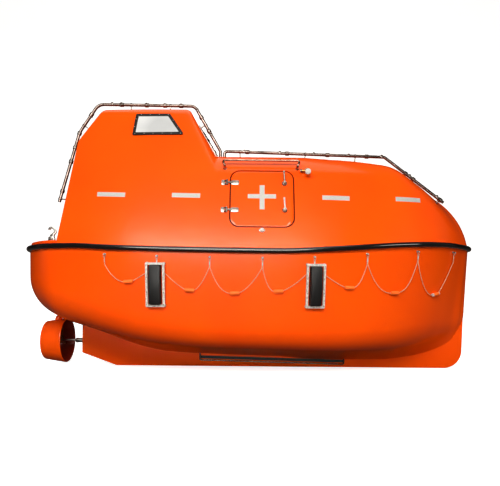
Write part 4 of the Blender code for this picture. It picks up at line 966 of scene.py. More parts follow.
def hull_section(u, inset=0.0, rise=0.0, counts=(10, 16, 12)):
    """One side of the hull's section at place u, or of the same section inset."""
    gx, gy, gk, sx, sk, share, bilge_k, radius = between(HULL_ROWS, u, 1)
    reach = math.hypot(gx - sx, gy)
    along = ((gx - sx) / reach, gy / reach)
    foot = (0.0, sk + inset)
    bilge = (share * reach - inset, bilge_k + 0.9 * inset)
    top = (reach - inset, gk + RIM + rise)
    line = corner_line(foot, bilge, top, max(radius - inset, 0.05), counts)
    return [Vector((sx + d * along[0], d * along[1], k)) for d, k in line]


# %% [markdown]
# ### Values along the boat
# Fittings are placed by their distance along the boat, and the table is not in steps of it.
# Halving an interval thirty times finds the place in the table to less than a hair.

# %% Values along the boat


def gunwale(x):
    """The half breadth and rail height at x."""
    low, high = 0.0, len(HULL_ROWS) - 1.0
    for _ in range(30):
        middle = (low + high) / 2
        if between(HULL_ROWS, middle, 1)[0] < x:
            low = middle
        else:
            high = middle
    return between(HULL_ROWS, low, 1)[1:3]


def ramp(x, points):
    """A value read from a short line of (x, value) pairs."""
    for (x0, v0), (x1, v1) in zip(points, points[1:]):
        if x <= x1:
            return v0 + (v1 - v0) * max(0.0, (x - x0) / (x1 - x0))
    return points[-1][1]


STEPS = 10               # hull sections in each row of the table
HULL_PLACES = [i / STEPS for i in range((len(HULL_ROWS) - 1) * STEPS + 1)]
print("hull sections:", len(HULL_PLACES))

# %% [markdown]
# ## Hull
# One laminate from the keel to the flange under the rubber rail. A grid is laid over the
# outside, across the rim and back down the inside, and mirrored. The keel fin is a plate
# that is united with it, so that the shaft's boss and the forefoot grow out of one moulding.
# The outside alone is laid once more, as a skin on which the fittings are set down.

# %% Hull moulding


def mirrored(sheet, distance=0.0001):
    """A half sheet and its port half as one mesh."""
    change(sheet, "MIRROR", use_axis=(False, True, False), merge_threshold=0.0005)
    return cleaned(sheet, distance)


rows = [hull_section(u) + hull_section(u, HULL_WALL, counts=(4, 10, 6))[::-1]
        for u in HULL_PLACES]
hull = mirrored(grid("hull_moulding", rows, GELCOAT))
outside = mirrored(grid("hull_outside", [hull_section(u) for u in HULL_PLACES]))
HULL_SKIN = skin_tree(outside)
bpy.data.objects.remove(outside, do_unlink=True)

SIDE_VIEW = Matrix(((1, 0, 0, 0), (0, 0, -1, 0), (0, 1, 0, 0), (0, 0, 0, 1)))
keel = plate("keel", rounded(KEEL_LINE, 12), SIDE_VIEW, -KEEL_HALF, KEEL_HALF, GELCOAT, 0.008, 4)
cut(hull, keel, "UNION")
smooth(hull, 30)
settled(hull, "boat", "hull_shell")

# %% [markdown]
# ## Canopy and conning tower
# The cover is a second moulding that stands on the hull's flange. Its grid follows the aft
# face, the tower's roof, the windscreen and the cabin roof, and closes round the bow. The
# roof is crowned, which sheds water and stiffens it, and blends into the shoulders' slope.

# %% Canopy sections


def crowned(line, steps, share=1.0):
    """Round the ridge of a roof line, keeping the slope that its first steps end with."""
    reach, edge_k = line[steps]
    slope = (line[0][1] - edge_k) / reach
    shaped = list(line)
    for i in range(steps):
        d, k = line[i]
        shaped[i] = (d, k + (edge_k + slope * reach / 2 * (1 - (d / reach) ** 2) - k) * share)
    return shaped


def canopy_sections(counts=(12, 12, 14), spacing=0.045):
    """One side's sections, from the aft face to the bow."""
    base = gunwale(AFT_FACE_X)[1] + RIM + SEAT
    line = ((AFT_FACE_X, base, 0.0),) + TOWER_LINE
    middle = bent([((x, 0.0, k), radius) for x, k, radius in line], 8)
    points = []
    for a, b in zip(middle, middle[1:]):
        parts = max(1, round((b - a).length / spacing))
        points += [a.lerp(b, i / parts) for i in range(parts)]
    points.append(middle[-1])
    sections = []
    for point in points:
        breadth, rail_k = gunwale(point.x)
        foot_k = rail_k + RIM + SEAT
        foot_y = breadth - CANOPY_INSET
        camber = ramp(point.x, CAMBER_RUN)
        radius = ramp(point.x, SHOULDER_RUN)
        shoulder_k = (point.z - camber * (foot_y + LEAN * foot_k)) / (1 - camber * LEAN)
        shoulder_k = max(shoulder_k, foot_k)
        shoulder = (foot_y - LEAN * (shoulder_k - foot_k), shoulder_k)
        roof = (0.0, max(point.z, foot_k))
        line = [tuple(p) for p in corner_line(roof, shoulder, (foot_y, foot_k), radius, counts)]
        sections.append([Vector((point.x, d, k)) for d, k in crowned(line, counts[0])])
    first_x, last_x = BOW_ROWS[1][2], BOW_ROWS[-1][2]
    for u in HULL_PLACES:
        if u <= BOW_ROW + 1:
            continue
        fx, fy, rx, rk, share, shoulder_k, radius = between(BOW_ROWS, u - BOW_ROW, 1)
        reach = math.hypot(fx - rx, fy)
        along = ((fx - rx) / reach, fy / reach)
        foot_k = between(HULL_ROWS, u, 1)[2] + RIM + SEAT
        shoulder = (share * reach, shoulder_k)
        line = [tuple(p) for p in
                corner_line((0.0, rk), shoulder, (reach, foot_k), radius, counts)]
        line = crowned(line, counts[0], 1 - ((rx - first_x) / (last_x - first_x)) ** 4)
        sections.append([Vector((rx + d * along[0], d * along[1], k)) for d, k in line])
    return sections


# %% [markdown]
# ### The canopy's sheet
# The sections become one sheet, which is mirrored and kept as a skin for the fittings. Its
# sides are flat and lean inwards, so a point of the side is found without a search.

# %% Canopy sheet


def canopy_side(x, k):
    """A point of the starboard canopy side, outward and up along it."""
    breadth, rail_k = gunwale(x)
    y = breadth - CANOPY_INSET - LEAN * (k - rail_k - RIM - SEAT)
    tilt = math.atan(LEAN)
    return (Vector((x, -y, k)), Vector((0.0, -math.cos(tilt), math.sin(tilt))),
            Vector((0.0, math.sin(tilt), math.cos(tilt))))


canopy = mirrored(grid("canopy_moulding", canopy_sections(), GELCOAT))
CANOPY_SKIN = skin_tree(canopy)
INBOARD = (0.0, 1.0, 0.0)    # from starboard towards the middle
print("canopy sheet:", len(canopy.data.polygons), "faces")

# %% [markdown]
# ### Where the openings are
# There is a door in each side, a hatch in the tower's aft face and one in the bow. Each
# opening gets a frame on the skin and its half width, half height and corner radius there.
# Its sides have draft, so that the leaf shuts like a cork and swings free without touching.

# %% Doors and hatches in the skin
DOOR = (0.130, 1.920, 0.345, 0.334, 0.110)    # x, k, half width, half height, corner radius
DOOR_DRAFT = 0.12        # growth outwards for each metre through the wall
DOOR_GAP = 0.014
AFT_HATCH_K = 2.050
AFT_HATCH = (0.29, 0.29, 0.08)
FORE_HATCH = (0.27, 0.27, 0.07)
FORE_HATCH_AT = Vector((2.10, 0.0, 2.205))
FORE_RUN = Vector((-0.92, 0.0, 0.485)).normalized()
HATCH_DRAFT, FORE_DRAFT = 0.12, 0.30


def door_frame():
    """The middle of the starboard door, with X forward and Y up the leaning side."""
    point, out, up = canopy_side(DOOR[0], DOOR[1])
    return panel_frame(point, (1, 0, 0), up)


def aft_hatch_frame():
    """The middle of the hatch in the tower's aft face."""
    return seated(CANOPY_SKIN, (-3.0, 0.0, AFT_HATCH_K), (1, 0, 0), (0, -1, 0), 0.25, 0.25)


def fore_hatch_frame():
    """The middle of the hatch in the bow, on the slope of the cover."""
    aim = FORE_RUN.cross(Vector((0, 1, 0)))
    return seated(CANOPY_SKIN, FORE_HATCH_AT - aim * 0.8, aim, (0, 1, 0), 0.2, 0.22)


openings = (
    ("side_door_starboard", door_frame(), *DOOR[2:], DOOR_DRAFT),
    ("aft_hatch_leaf", aft_hatch_frame(), *AFT_HATCH, HATCH_DRAFT),
    ("fore_hatch_leaf", fore_hatch_frame(), *FORE_HATCH, FORE_DRAFT),
)
print("openings:", [name for name, *_ in openings])

# %% [markdown]
# ### Where the windows are
# The side windows follow the tower's raked front, so their four corners are read from the
# photograph one by one. The front and aft windows are plain trapezes that fill their faces.
# A window's outline is that of its rubber frame, and the hole behind it is a lip smaller.

# %% Windows in the skin
WINDOW_AT = (-1.020, 2.785)
SIDE_WINDOW = ((-1.284, 2.915, 0.016), (-0.903, 2.912, 0.016), (-0.726, 2.655, 0.016),
               (-1.306, 2.655, 0.016))
FRONT_WINDOW = ((0.36, 0.115, 0.03), (-0.36, 0.115, 0.03), (-0.40, -0.115, 0.03),
                (0.40, -0.115, 0.03))
AFT_WINDOW = ((0.26, 0.10, 0.03), (-0.26, 0.10, 0.03), (-0.28, -0.10, 0.03), (0.28, -0.10, 0.03))
FRONT_WINDOW_K, AFT_WINDOW_K = 2.79, 2.855
WINDOW_LIP = 0.032


def window_frames():
    """Each window: its name, its frame and its outline in that frame."""
    tilt = math.cos(math.atan(LEAN))
    x0, k0 = WINDOW_AT
    side = [(x - x0, (k - k0) / tilt, r) for x, k, r in SIDE_WINDOW]
    place = seated(CANOPY_SKIN, (x0, -2.0, k0), INBOARD, (1, 0, 0), 0.27, 0.125)
    port = Matrix.Scale(-1.0, 4, (0, 1, 0)) @ place @ Matrix.Scale(-1.0, 4, (1, 0, 0))
    front = seated(CANOPY_SKIN, (1.0, 0.0, FRONT_WINDOW_K), (-1, 0, 0), (0, 1, 0), 0.36, 0.09)
    aft = seated(CANOPY_SKIN, (-3.0, 0.0, AFT_WINDOW_K), (1, 0, 0), (0, -1, 0), 0.24, 0.08)
    return (("window_starboard", place, side),
            ("window_port", port, [(-x, y, r) for x, y, r in side]),
            ("window_front", front, FRONT_WINDOW), ("window_aft", aft, AFT_WINDOW))


windows = window_frames()
print("windows:", [name for name, _, _ in windows])

# %% [markdown]
# ### The shell and its leaves
# The sheet gets its wall, with the pale inner moulding as its back. A plug with the draft of
# its opening then cuts each hole. The same wall is cut once more with slightly smaller plugs,
# and what lies inside them is the door or hatch leaf, so a leaf always fits its hole.

# %% Canopy shell
SHELL_WALL = 0.030
PLUG_IN, PLUG_OUT = -0.22, 0.12    # how far a plug reaches through the wall


def tapered_plug(half_x, half_y, radius, place, draft):
    """A rounded plug through a wall, smaller inside by draft."""
    rings = []
    for depth in (PLUG_IN, PLUG_OUT):
        grow = draft * depth
        outline = rounded_box(half_x + grow, half_y + grow, max(radius + grow, 0.01))
        rings.append([place @ Vector((x, y, depth)) for x, y in outline])
    return closed(grid("plug", rings, GELCOAT, wrap=True))


canopy.data.materials.append(LINER)
change(canopy, "SOLIDIFY", thickness=SHELL_WALL, offset=-1.0, material_offset=1)
cleaned(canopy)
leaves = {}
for name, place, wide, high, corner, draft in openings:
    small = tapered_plug(wide - DOOR_GAP, high - DOOR_GAP, corner - DOOR_GAP, place, draft)
    leaves[name] = cut(copied(canopy, name), small, "INTERSECT")
for name, place, wide, high, corner, draft in openings:
    plug = tapered_plug(wide, high, corner, place, draft)
    if name == "side_door_starboard":
        cut(canopy, to_port(plug, "plug_port"))
    cut(canopy, plug)
for name, place, outline in windows:
    cut(canopy, plate("plug", rounded(inset_outline(outline, WINDOW_LIP)), place, -0.12, 0.06))
smooth(canopy, 30)
settled(canopy, "boat", "canopy_shell")

# %% [markdown]
# ## Doors and hatches
# Each leaf is the piece that its opening would have lost, so its curve carries on across the
# gap. The edge gets a small radius, as a gelcoat moulding has, because a gelcoat chips on a
# sharp one, and that radius draws the thin glint along the seam.

# %% Leaves
for leaf in leaves.values():
    smooth(eased(cleaned(leaf), 0.002, 2), 30)
port_leaf = to_port(leaves["side_door_starboard"], "side_door_leaf_port")
leaves["side_door_starboard"].name = "side_door_leaf_starboard"
settled(leaves["side_door_starboard"], "door_starboard", "side_door_starboard")
settled(port_leaf, "door_port", "side_door_port")
settled(leaves["aft_hatch_leaf"], "aft_hatch", "aft_hatch")
settled(leaves["fore_hatch_leaf"], "fore_hatch", "fore_hatch")

# %% [markdown]
# ## Seals
# A round bulb seal of rubber lies in the gap round each leaf, 19 mm under the skin. Its dark
# red is painted shade: it draws the shaded gap as the dark seam. Its line is read from the skin
# point by point, as a fitter presses a bought section into the groove, so it follows the curve
# of the bow too.

# %% Seals
SEAL_DEEP, SEAL_RADIUS = 0.019, 0.0066
SEAL_STEP = 0.04         # longest straight stretch


def bulb_seal(name, place, wide, high, corner, draft):
    """A closed round section in the gap of an opening."""
    out = place.to_3x3() @ Vector((0, 0, 1))
    back = place.inverted()
    corners = rounded_box(wide, high, corner)
    counts = [max(1, round(math.dist(a, b) / SEAL_STEP))
              for a, b in zip(corners, corners[1:] + corners[:1])]
    path = []
    for i, count in enumerate(counts):
        for step in range(count):
            z = 0.0
            for _ in range(3):
                grow = draft * z - DOOR_GAP / 2
                line = rounded_box(wide + grow, high + grow, corner + grow)
                a, b = Vector(line[i]), Vector(line[(i + 1) % len(line)])
                x, y = a.lerp(b, step / count)
                hit = skin_hit(CANOPY_SKIN, place @ Vector((x, y, 0.3)), -out)
                z = (back @ hit).z - SEAL_DEEP
            path.append(place @ Vector((x, y, z)))
    # painted shade: the dark red seal draws the shaded gap as a dark seam
    return pipe(name, path + [path[0]], SEAL_RADIUS, SEAL_RED, 4)


for name, place, *sizes in openings:
    ring = bulb_seal(f"{name}_seal", place, *sizes)
    if name == "side_door_starboard":
        settled(to_port(ring, "side_door_port_seal"), "boat")
    settled(ring, "boat")

# %% [markdown]
# ## Rubber rail
# A D-section of black rubber is fastened over the joint of the two mouldings, right round
# the boat. Its round face is swept along the gunwale, and its flat back leans with the
# topside. A curve's bevel profile would twist at the stem, so the rings are placed one by
# one, each square to the gunwale.

# %% Rail
RAIL_HALF, RAIL_DEEP = 0.031, 0.040
RAIL_OFF, RAIL_WALL = 0.001, 0.005    # off the joint, and the straight part of the D
ROUND_STEPS = 14
rings = []
for u in HULL_PLACES:
    row = between(HULL_ROWS, u, 1)
    ahead = between(HULL_ROWS, min(u + 0.02, HULL_PLACES[-1]), 1)
    behind = between(HULL_ROWS, max(u - 0.02, 0.0), 1)
    out = Vector((ahead[1] - behind[1], behind[0] - ahead[0], 0.0)).normalized() * -1.0
    if u in (0.0, HULL_PLACES[-1]):
        out = Vector((-1.0 if u == 0.0 else 1.0, 0.0, 0.0))
    edge = Vector(row[:3])
    slope = (1.0 - row[5]) * math.hypot(row[0] - row[3], row[1]) / (row[2] + RIM - row[6])
    ring = [edge + out * RAIL_OFF + Vector((0, 0, RIM - 0.001)),
            edge + out * (RAIL_OFF - slope * (RIM + RAIL_HALF) * 0.8)
            + Vector((0, 0, -RAIL_HALF))]
    for j in range(ROUND_STEPS + 1):
        angle = -math.pi / 2 + math.pi * j / ROUND_STEPS
        reach_out = RAIL_WALL + (RAIL_DEEP - RAIL_WALL) * math.cos(angle)
        ring.append(edge + out * reach_out + Vector((0, 0, RAIL_HALF * math.sin(angle))))
    rings.append(ring)
rail = mirrored(grid("rubber_rail", rings, RUBBER, wrap=True), 0.00002)
settled(smooth(rail, 40), "boat", "gunwale_fender")

# %% [markdown]
# ## Screws and bolts
# Pan-head screws hold the window frames and the fenders' pads, and hexagon bolts hold the
# rest. One of each is modelled on its own XY plane, with the slot or the washer that catches
# the light, and copied to its places. They have few faces, because there are so many.

# %% Screws and bolts


def scattered(name, model, places):
    """Copies of one small model at several frames, joined into one piece."""
    parts = []
    for i, place in enumerate(places):
        part = copied(model, f"{name}_{i}")
        part.data.transform(place)
        parts.append(part)
    bpy.data.objects.remove(model, do_unlink=True)
    return joined(name, parts)


def screw(radius, height):
    """A pan-head screw with a slot, standing on its own XY plane."""
    head = turned("screw", ((radius, -0.001), (radius, height * 0.4), (radius * 0.9, height * 0.7),
                            (radius * 0.6, height * 0.95), (radius * 0.1, height)),
                  UNMOVED, POLISHED, 20)
    slot = plate("slot", ((-radius * 1.2, -radius * 0.12), (radius * 1.2, -radius * 0.12),
                          (radius * 1.2, radius * 0.12), (-radius * 1.2, radius * 0.12)),
                 UNMOVED, height * 0.5, height * 1.5)
    return smooth(cut(head, slot))


def bolt(radius, height):
    """A hexagon head on a washer, standing on its own XY plane."""
    hexagon = [(math.cos(math.tau * i / 6) * radius, math.sin(math.tau * i / 6) * radius)
               for i in range(6)]
    head = plate("bolt", hexagon, UNMOVED, 0.001, height, POLISHED, radius * 0.12, 2)
    washer = turned("washer", ((radius * 1.35, -0.001), (radius * 1.35, 0.0012),
                               (radius * 1.25, 0.0018)), UNMOVED, POLISHED, 24)
    return smooth(joined("bolt", [head, washer]))


def spread_along(outline, inset, count):
    """Evenly spaced points on an outline drawn in by inset."""
    points = [Vector((x, y, 0.0)) for x, y in rounded(inset_outline(outline, inset))]
    points.append(points[0])
    spans = [(b - a).length for a, b in zip(points, points[1:])]
    spots = []
    for i in range(count):
        left = (i + 0.5) / count * sum(spans)
        for a, b, span in zip(points, points[1:], spans):
            if left <= span:
                spots.append(a.lerp(b, left / span))
                break
            left -= span
    return spots


# %% [markdown]
# ## Windows
# Each pane sits in a moulded rubber frame that is clamped by small screws. The frame is a
# plate with the pane's outline cut out and its edges rounded. The screws stand along its
# middle, each turned a little further, and the pane is a flat plate behind the lip.

# %% Window frames, panes and screws
for name, place, outline in windows:
    frame_piece = plate(f"{name}_frame", rounded(outline), place, SEAT * 2, 0.014, GASKET)
    cut(frame_piece, plate("pane_hole", rounded(inset_outline(outline, WINDOW_LIP)), place,
                           -0.02, 0.03))
    settled(smooth(eased(frame_piece, 0.0045, 4)), "boat", name)
    # painted reflection: the pane's pale colour stands for the studio it reflects
    pane = plate(f"{name}_pane", rounded(inset_outline(outline, WINDOW_LIP - 0.002)), place,
                 0.002, 0.008, GLAZING, 0.0008, 1)
    settled(pane, "boat")
    spots = [place @ Matrix.Translation((p.x, p.y, 0.0138)) @ Matrix.Rotation(i * 0.9, 4, "Z")
             for i, p in enumerate(spread_along(outline, 0.013, 14))]
    settled(scattered(f"{name}_screws", screw(0.0052, 0.0036), spots), "boat")

# %% [markdown]
# ## Hinges
# A hinge is a fixed plate with two knuckles and a pin, and a strap whose knuckle turns
# between them. Lugs carry the pin clear of the skin, so that a leaf swings out without
# touching. One function makes all the hinges, because only their size and direction differ.

# %% One hinge
HINGE_X = DOOR[0] - DOOR[2] - 0.028
HINGE_SET, HINGE_OUT, KNUCKLE, PIN = 0.026, 0.015, 0.010, 0.0048
PLATE_THICK = 0.0065


def turned_bar(name, start, end, radius, material=POLISHED, sides=24):
    """A round bar with eased ends from start to end."""
    start, end = Vector(start), Vector(end)
    length = (end - start).length
    ease = min(radius * 0.18, 0.0015)
    return turned(name, ((radius - ease, 0.0), (radius, ease), (radius, length - ease),
                         (radius - ease, length)), aimed(start, end - start), material, sides)


def hinge(name, pivot, inward, out, span, plate_in):
    """A hinge's fixed plate with its knuckles, and the strap that turns with the leaf."""
    inward, out = Vector(inward).normalized(), Vector(out).normalized()
    along = out.cross(inward)
    knuckle = span * 0.34
    side = Matrix.Translation(pivot) @ Matrix((inward, out, -along)).transposed().to_4x4()

    def leaf_plate(near, far, half, label):
        spot = pivot + inward * (near + far) / 2 + out * 0.3
        wide = abs(far - near) / 2
        seat = seated(CANOPY_SKIN, spot, -out, inward, wide, half, (inward, out))
        made = plate(label, rounded_box(wide, half, min(wide, half) * 0.62), seat, SEAT * 2,
                     PLATE_THICK, POLISHED, 0.0016, 2)
        spots = ((0.0, -half * 0.55), (0.0, half * 0.55))
        if wide > half:
            spots = ((-wide * 0.15, 0.0), (wide * 0.6, 0.0))
        bolts = scattered(f"{label}_bolts", bolt(0.0062, 0.0052),
                          [seat @ Matrix.Translation((x, y, PLATE_THICK)) for x, y in spots])
        return made, bolts, (seat.translation - pivot).dot(out)

    fixed, bolts, low = leaf_plate(-0.062, -0.018, span, f"{name}_plate")
    parts = [fixed, bolts]
    for a, b in ((-span, -knuckle - 0.001), (knuckle + 0.001, span)):
        lug = [(-0.030, low + 0.002), (-0.004, low + 0.002), (-0.001, -0.002), (-0.006, 0.004),
               (-0.030, low + 0.006)]
        parts.append(plate("lug", lug, side, a + 0.0012, b - 0.0012, POLISHED, 0.001, 1))
        parts.append(turned_bar("knuckle", pivot + along * a, pivot + along * b, KNUCKLE))
    pin_half = along * (span + 0.002)
    parts.append(turned_bar("pin", pivot - pin_half, pivot + pin_half, PIN))
    fixed = smooth(joined(f"{name}_plate", parts))
    near, far = plate_in
    strap, bolts, low = leaf_plate(near, far, span * 0.9, f"{name}_strap")
    arm = [(0.003, -0.004), (0.003, 0.005), (near + 0.016, low + 0.0095),
           (near + 0.022, low + 0.003), (near + 0.004, low + 0.003)]
    parts = [strap, bolts,
             plate("arm", arm, side, -knuckle * 0.85, knuckle * 0.85, POLISHED, 0.001, 1),
             turned_bar("knuckle", pivot - along * knuckle, pivot + along * knuckle, KNUCKLE)]
    strap = smooth(joined(f"{name}_strap", parts))
    return fixed, strap


def hinge_axis(place, local, half_x, half_y):
    """A hatch's hinge axis above the skin, at a spot of the hatch's frame."""
    out = place.to_3x3() @ Vector((0, 0, 1))
    run = place.to_3x3() @ Vector((1, 0, 0))
    spot = seated(CANOPY_SKIN, place @ Vector(local) + out * 0.5, -out, run, half_x, half_y,
                  (run, out))
    return spot.translation + out * HINGE_OUT


# %% [markdown]
# ### Hinges in their places
# Each door has two hinges on its aft edge, as in the photograph, and they share one axis, as
# two hinges on a curved side must. Each hatch has one wide hinge, on a guessed edge.

# %% Hinges
HINGE_K = (2.100, 1.795)
point, out, up = canopy_side(HINGE_X, DOOR[1])
door_axis = point + out * HINGE_OUT
for label, k in zip(("upper", "lower"), HINGE_K):
    spot = door_axis + up * (k - door_axis.z) / up.z
    fixed, strap = hinge(f"door_hinge_{label}", spot, (1, 0, 0), out, 0.030, (0.042, 0.128))
    both_sides(fixed, fixed.name, "boat", f"door_hinge_{label}")
    both_sides(strap, strap.name, "door", f"door_strap_{label}")
for name, place, local, inward, span, half in (
        ("aft", aft_hatch_frame(), (-AFT_HATCH[0] - HINGE_SET, 0, 0), (1, 0, 0), 0.11,
         (0.06, 0.12)),
        ("fore", fore_hatch_frame(), (0, FORE_HATCH[1] + HINGE_SET, 0), (0, -1, 0), 0.09,
         (0.12, 0.04))):
    turn = place.to_3x3()
    fixed, strap = hinge(f"{name}_hatch_hinge_new", hinge_axis(place, local, *half),
                         turn @ Vector(inward), turn @ Vector((0, 0, 1)), span, (0.040, 0.120))
    settled(fixed, "boat", f"{name}_hatch_hinge")
    settled(strap, f"{name}_hatch", f"{name}_hatch_strap")

# %% [markdown]
# ## Door levers
# Two levers on each door work its dogs from outside: the upper one is bare steel, and the
# lower one has a white sleeve. Each is a turned boss on the door, a hub, a bent grip and a
# nut.

# %% Levers
LATCH_K = (2.090, 1.790)
LATCH_X = 0.368
_, side_out, side_up = canopy_side(HINGE_X, DOOR[1])
side_turn = (Vector((1, 0, 0)), side_out)
for label, k, material in zip(("upper", "lower"), LATCH_K, (POLISHED, WHITE_CAP)):
    seat = seated(CANOPY_SKIN, (LATCH_X, -2.0, k), INBOARD, (1, 0, 0), 0.028, 0.028, side_turn)
    boss = turned("boss", ((0.028, 0.0006), (0.028, 0.006), (0.026, 0.010), (0.0225, 0.018),
                           (0.020, 0.020), (0.012, 0.021), (0.011, 0.034), (0.009, 0.036)),
                  seat, POLISHED, 40)
    grip = [Vector((0, -0.010, 0.030)), Vector((0, 0.02, 0.032)), Vector((-0.003, 0.070, 0.036)),
            Vector((-0.006, 0.125, 0.040))]
    lever = pipe("lever", bent([(tuple(seat @ p), 0.0 if i in (0, 3) else 0.05)
                                for i, p in enumerate(grip)]), 0.0085, material)
    hub = turned("hub", ((0.015, 0.024), (0.0165, 0.026), (0.0165, 0.036), (0.014, 0.039)), seat,
                 material, 32)
    knob = turned_bar("knob", seat @ Vector((-0.0055, 0.108, 0.0385)),
                      seat @ Vector((-0.0062, 0.129, 0.0402)), 0.0105, material)
    nut = bolt(0.008, 0.006)
    nut.data.transform(seat @ Matrix.Translation((0, 0, 0.039)))
    latch = smooth(joined("lever", [boss, lever, hub, knob, nut]))
    both_sides(latch, f"door_lever_{label}", "door", f"door_handle_{label}")

# %% [markdown]
# ## Door catches
# The white dome under each door is the catch that holds it, on a small steel plate. It is a
# turned piece that rests on the leaning side.

# %% Catches
CATCH_X, CATCH_K = 0.130, 1.570
seat = seated(CANOPY_SKIN, (CATCH_X, -2.0, CATCH_K), INBOARD, (1, 0, 0), 0.024, 0.024, side_turn)
dome = turned("dome", ((0.025, 0.0004), (0.025, 0.007), (0.023, 0.014), (0.018, 0.020),
                       (0.010, 0.024), (0.002, 0.025)), seat, WHITE_CAP, 40)
pad = plate("catch_plate", rounded_box(0.032, 0.012, 0.006), seat, 0.0004, 0.006, POLISHED,
            0.001, 2)
both_sides(smooth(joined("catch", [dome, pad])), "door_catch")

# %% [markdown]
# ## Reflective tape
# Strips of silver retro-reflective tape are stuck along the cover, and a cross on each door,
# so that a searchlight finds the boat. A flat plate would sink into the curved side, so each
# strip is a thin grid laid on the skin itself. The cross's upright lies over its bar.

# %% Tape strips
TAPE_WIDE, TAPE_THICK = 0.050, 0.0008
STRIPS = ((-1.642, -1.331, 1.968, 1.956), (-0.826, -0.525, 1.951, 1.945),
          (0.769, 1.062, 1.938, 1.934), (1.580, 1.892, 1.950, 1.961))


def laid(name, x0, x1, low, high, lift=TAPE_THICK):
    """A thin strip on the starboard skin. low and high give its edge heights at both ends."""
    columns = max(2, round((x1 - x0) / 0.02))
    lines = 6
    rows = []
    for j in range(lines + 1):
        row = []
        for i in range(columns + 1):
            share = i / columns
            bottom = low[0] + (low[1] - low[0]) * share
            top = high[0] + (high[1] - high[0]) * share
            start = Vector((x0 + (x1 - x0) * share, -2.0, bottom + (top - bottom) * j / lines))
            hit, normal, _, _ = CANOPY_SKIN.ray_cast(start, Vector(INBOARD))
            normal = normal if normal.y < 0 else -normal
            row.append(hit + normal * lift)
        rows.append(row)
    strip = grid(name, rows, TAPE)
    change(strip, "SOLIDIFY", thickness=TAPE_THICK, offset=0.0)
    return smooth(cleaned(strip, 0.00001), 40)


strips = [laid(f"tape_{i}", x0, x1, (k0 - TAPE_WIDE / 2, k1 - TAPE_WIDE / 2),
               (k0 + TAPE_WIDE / 2, k1 + TAPE_WIDE / 2))
          for i, (x0, x1, k0, k1) in enumerate(STRIPS)]
both_sides(joined("tape", strips), "reflective_tape")
CROSS_X, CROSS_K = 0.130, 1.944
cross = joined("cross", [
    laid("cross_bar", CROSS_X - 0.152, CROSS_X + 0.148, (CROSS_K - 0.024,) * 2,
         (CROSS_K + 0.024,) * 2),
    laid("cross_upright", CROSS_X - 0.026, CROSS_X + 0.026, (1.798,) * 2, (2.068,) * 2,
         2 * TAPE_THICK)])
both_sides(cross, "door_cross", "door")

# %% [markdown]
# ## Parts of a spray pipe
# The water-spray system keeps a film of water over the cover in a fire. Its pipes are 35 mm
# stainless tubes in a dark brown-grey, with welded sleeves, spray heads with a hexagon collar,
# and feet. Each fitting is a turned piece on the pipe's own line, so it follows its bends.

# %% Parts of a spray pipe
PIPE_RADIUS = 0.0175
PIPE_Y = -0.45
DOWN = Vector((0.0, 0.0, -1.0))
HEAD_SIDE = Vector((0.0, -1.0, 0.35)).normalized()


def spot_on(path, axis, value):
    """The first point of a path, and its direction there, where one coordinate has a value."""
    for a, b in zip(path, path[1:]):
        if (a[axis] - value) * (b[axis] - value) <= 0 and a[axis] != b[axis]:
            return a.lerp(b, (value - a[axis]) / (b[axis] - a[axis])), (b - a).normalized()
    raise ValueError(f"the path never reaches {value}")


def sleeve(point, along, half, radius):
    """A welded sleeve round a pipe, with eased lips."""
    steps = ((PIPE_RADIUS, -half - 0.003), (radius - 0.002, -half), (radius, -half + 0.002),
             (radius, half - 0.002), (radius - 0.002, half), (PIPE_RADIUS, half + 0.003))
    return turned("sleeve", steps, aimed(point, along), PIPE_STEEL, 32)


def spray_head(point, side):
    """A short boss with a hexagon collar and a fan nozzle, pointing along side."""
    seat = aimed(point, side)
    boss = turned("head", ((0.011, 0.010), (0.011, 0.026), (0.0085, 0.028), (0.0085, 0.034),
                           (0.0065, 0.038)), seat, PIPE_STEEL, 24)
    collar = bolt(0.0125, 0.0075)
    collar.data.transform(seat @ Matrix.Translation((0, 0, 0.0235)))
    return [boss, collar]


def stand_off(point, along, aim):
    """A rod from a pipe to a round foot that is bolted to the skin."""
    hit, normal, _, _ = CANOPY_SKIN.ray_cast(Vector(point), Vector(aim).normalized())
    seat = seated(CANOPY_SKIN, point, -normal, normal.orthogonal().normalized(), 0.02, 0.02,
                  (normal.orthogonal().normalized(), normal))
    rod = turned_bar("rod", point, seat.translation + normal * 0.002, 0.0075)
    foot = turned("foot", ((0.021, 0.0002), (0.021, 0.003), (0.019, 0.0045), (0.010, 0.0055)),
                  seat, PIPE_STEEL, 32)
    clamp = sleeve(point, along, 0.010, PIPE_RADIUS + 0.0035)
    return [rod, foot, clamp]


def spray_pipe(name, path, sleeves, heads, feet):
    """A pipe with its sleeves, heads and feet. Each list gives an axis and a coordinate."""
    parts = [pipe("tube", path, PIPE_RADIUS, PIPE_STEEL, 10)]
    for axis, value, half in sleeves:
        point, along = spot_on(path, axis, value)
        parts.append(sleeve(point, along, half, 0.0245))
    for axis, value in heads:
        point, along = spot_on(path, axis, value)
        parts += spray_head(point, HEAD_SIDE)
    for axis, value, aim in feet:
        point, along = spot_on(path, axis, value)
        parts += stand_off(point, along, aim)
    return joined(name, parts)


print("spray pipe:", 2000 * PIPE_RADIUS, "mm across")

# %% [markdown]
# ## Spray pipes
# One pipe climbs over the tower and ends in a flange on the cabin roof, and the other one
# runs on along the roof and falls over the bow. Their corners, sleeves, heads and feet are
# placed by the photograph: each list gives an axis, 0 for X or 2 for Z, and a coordinate.

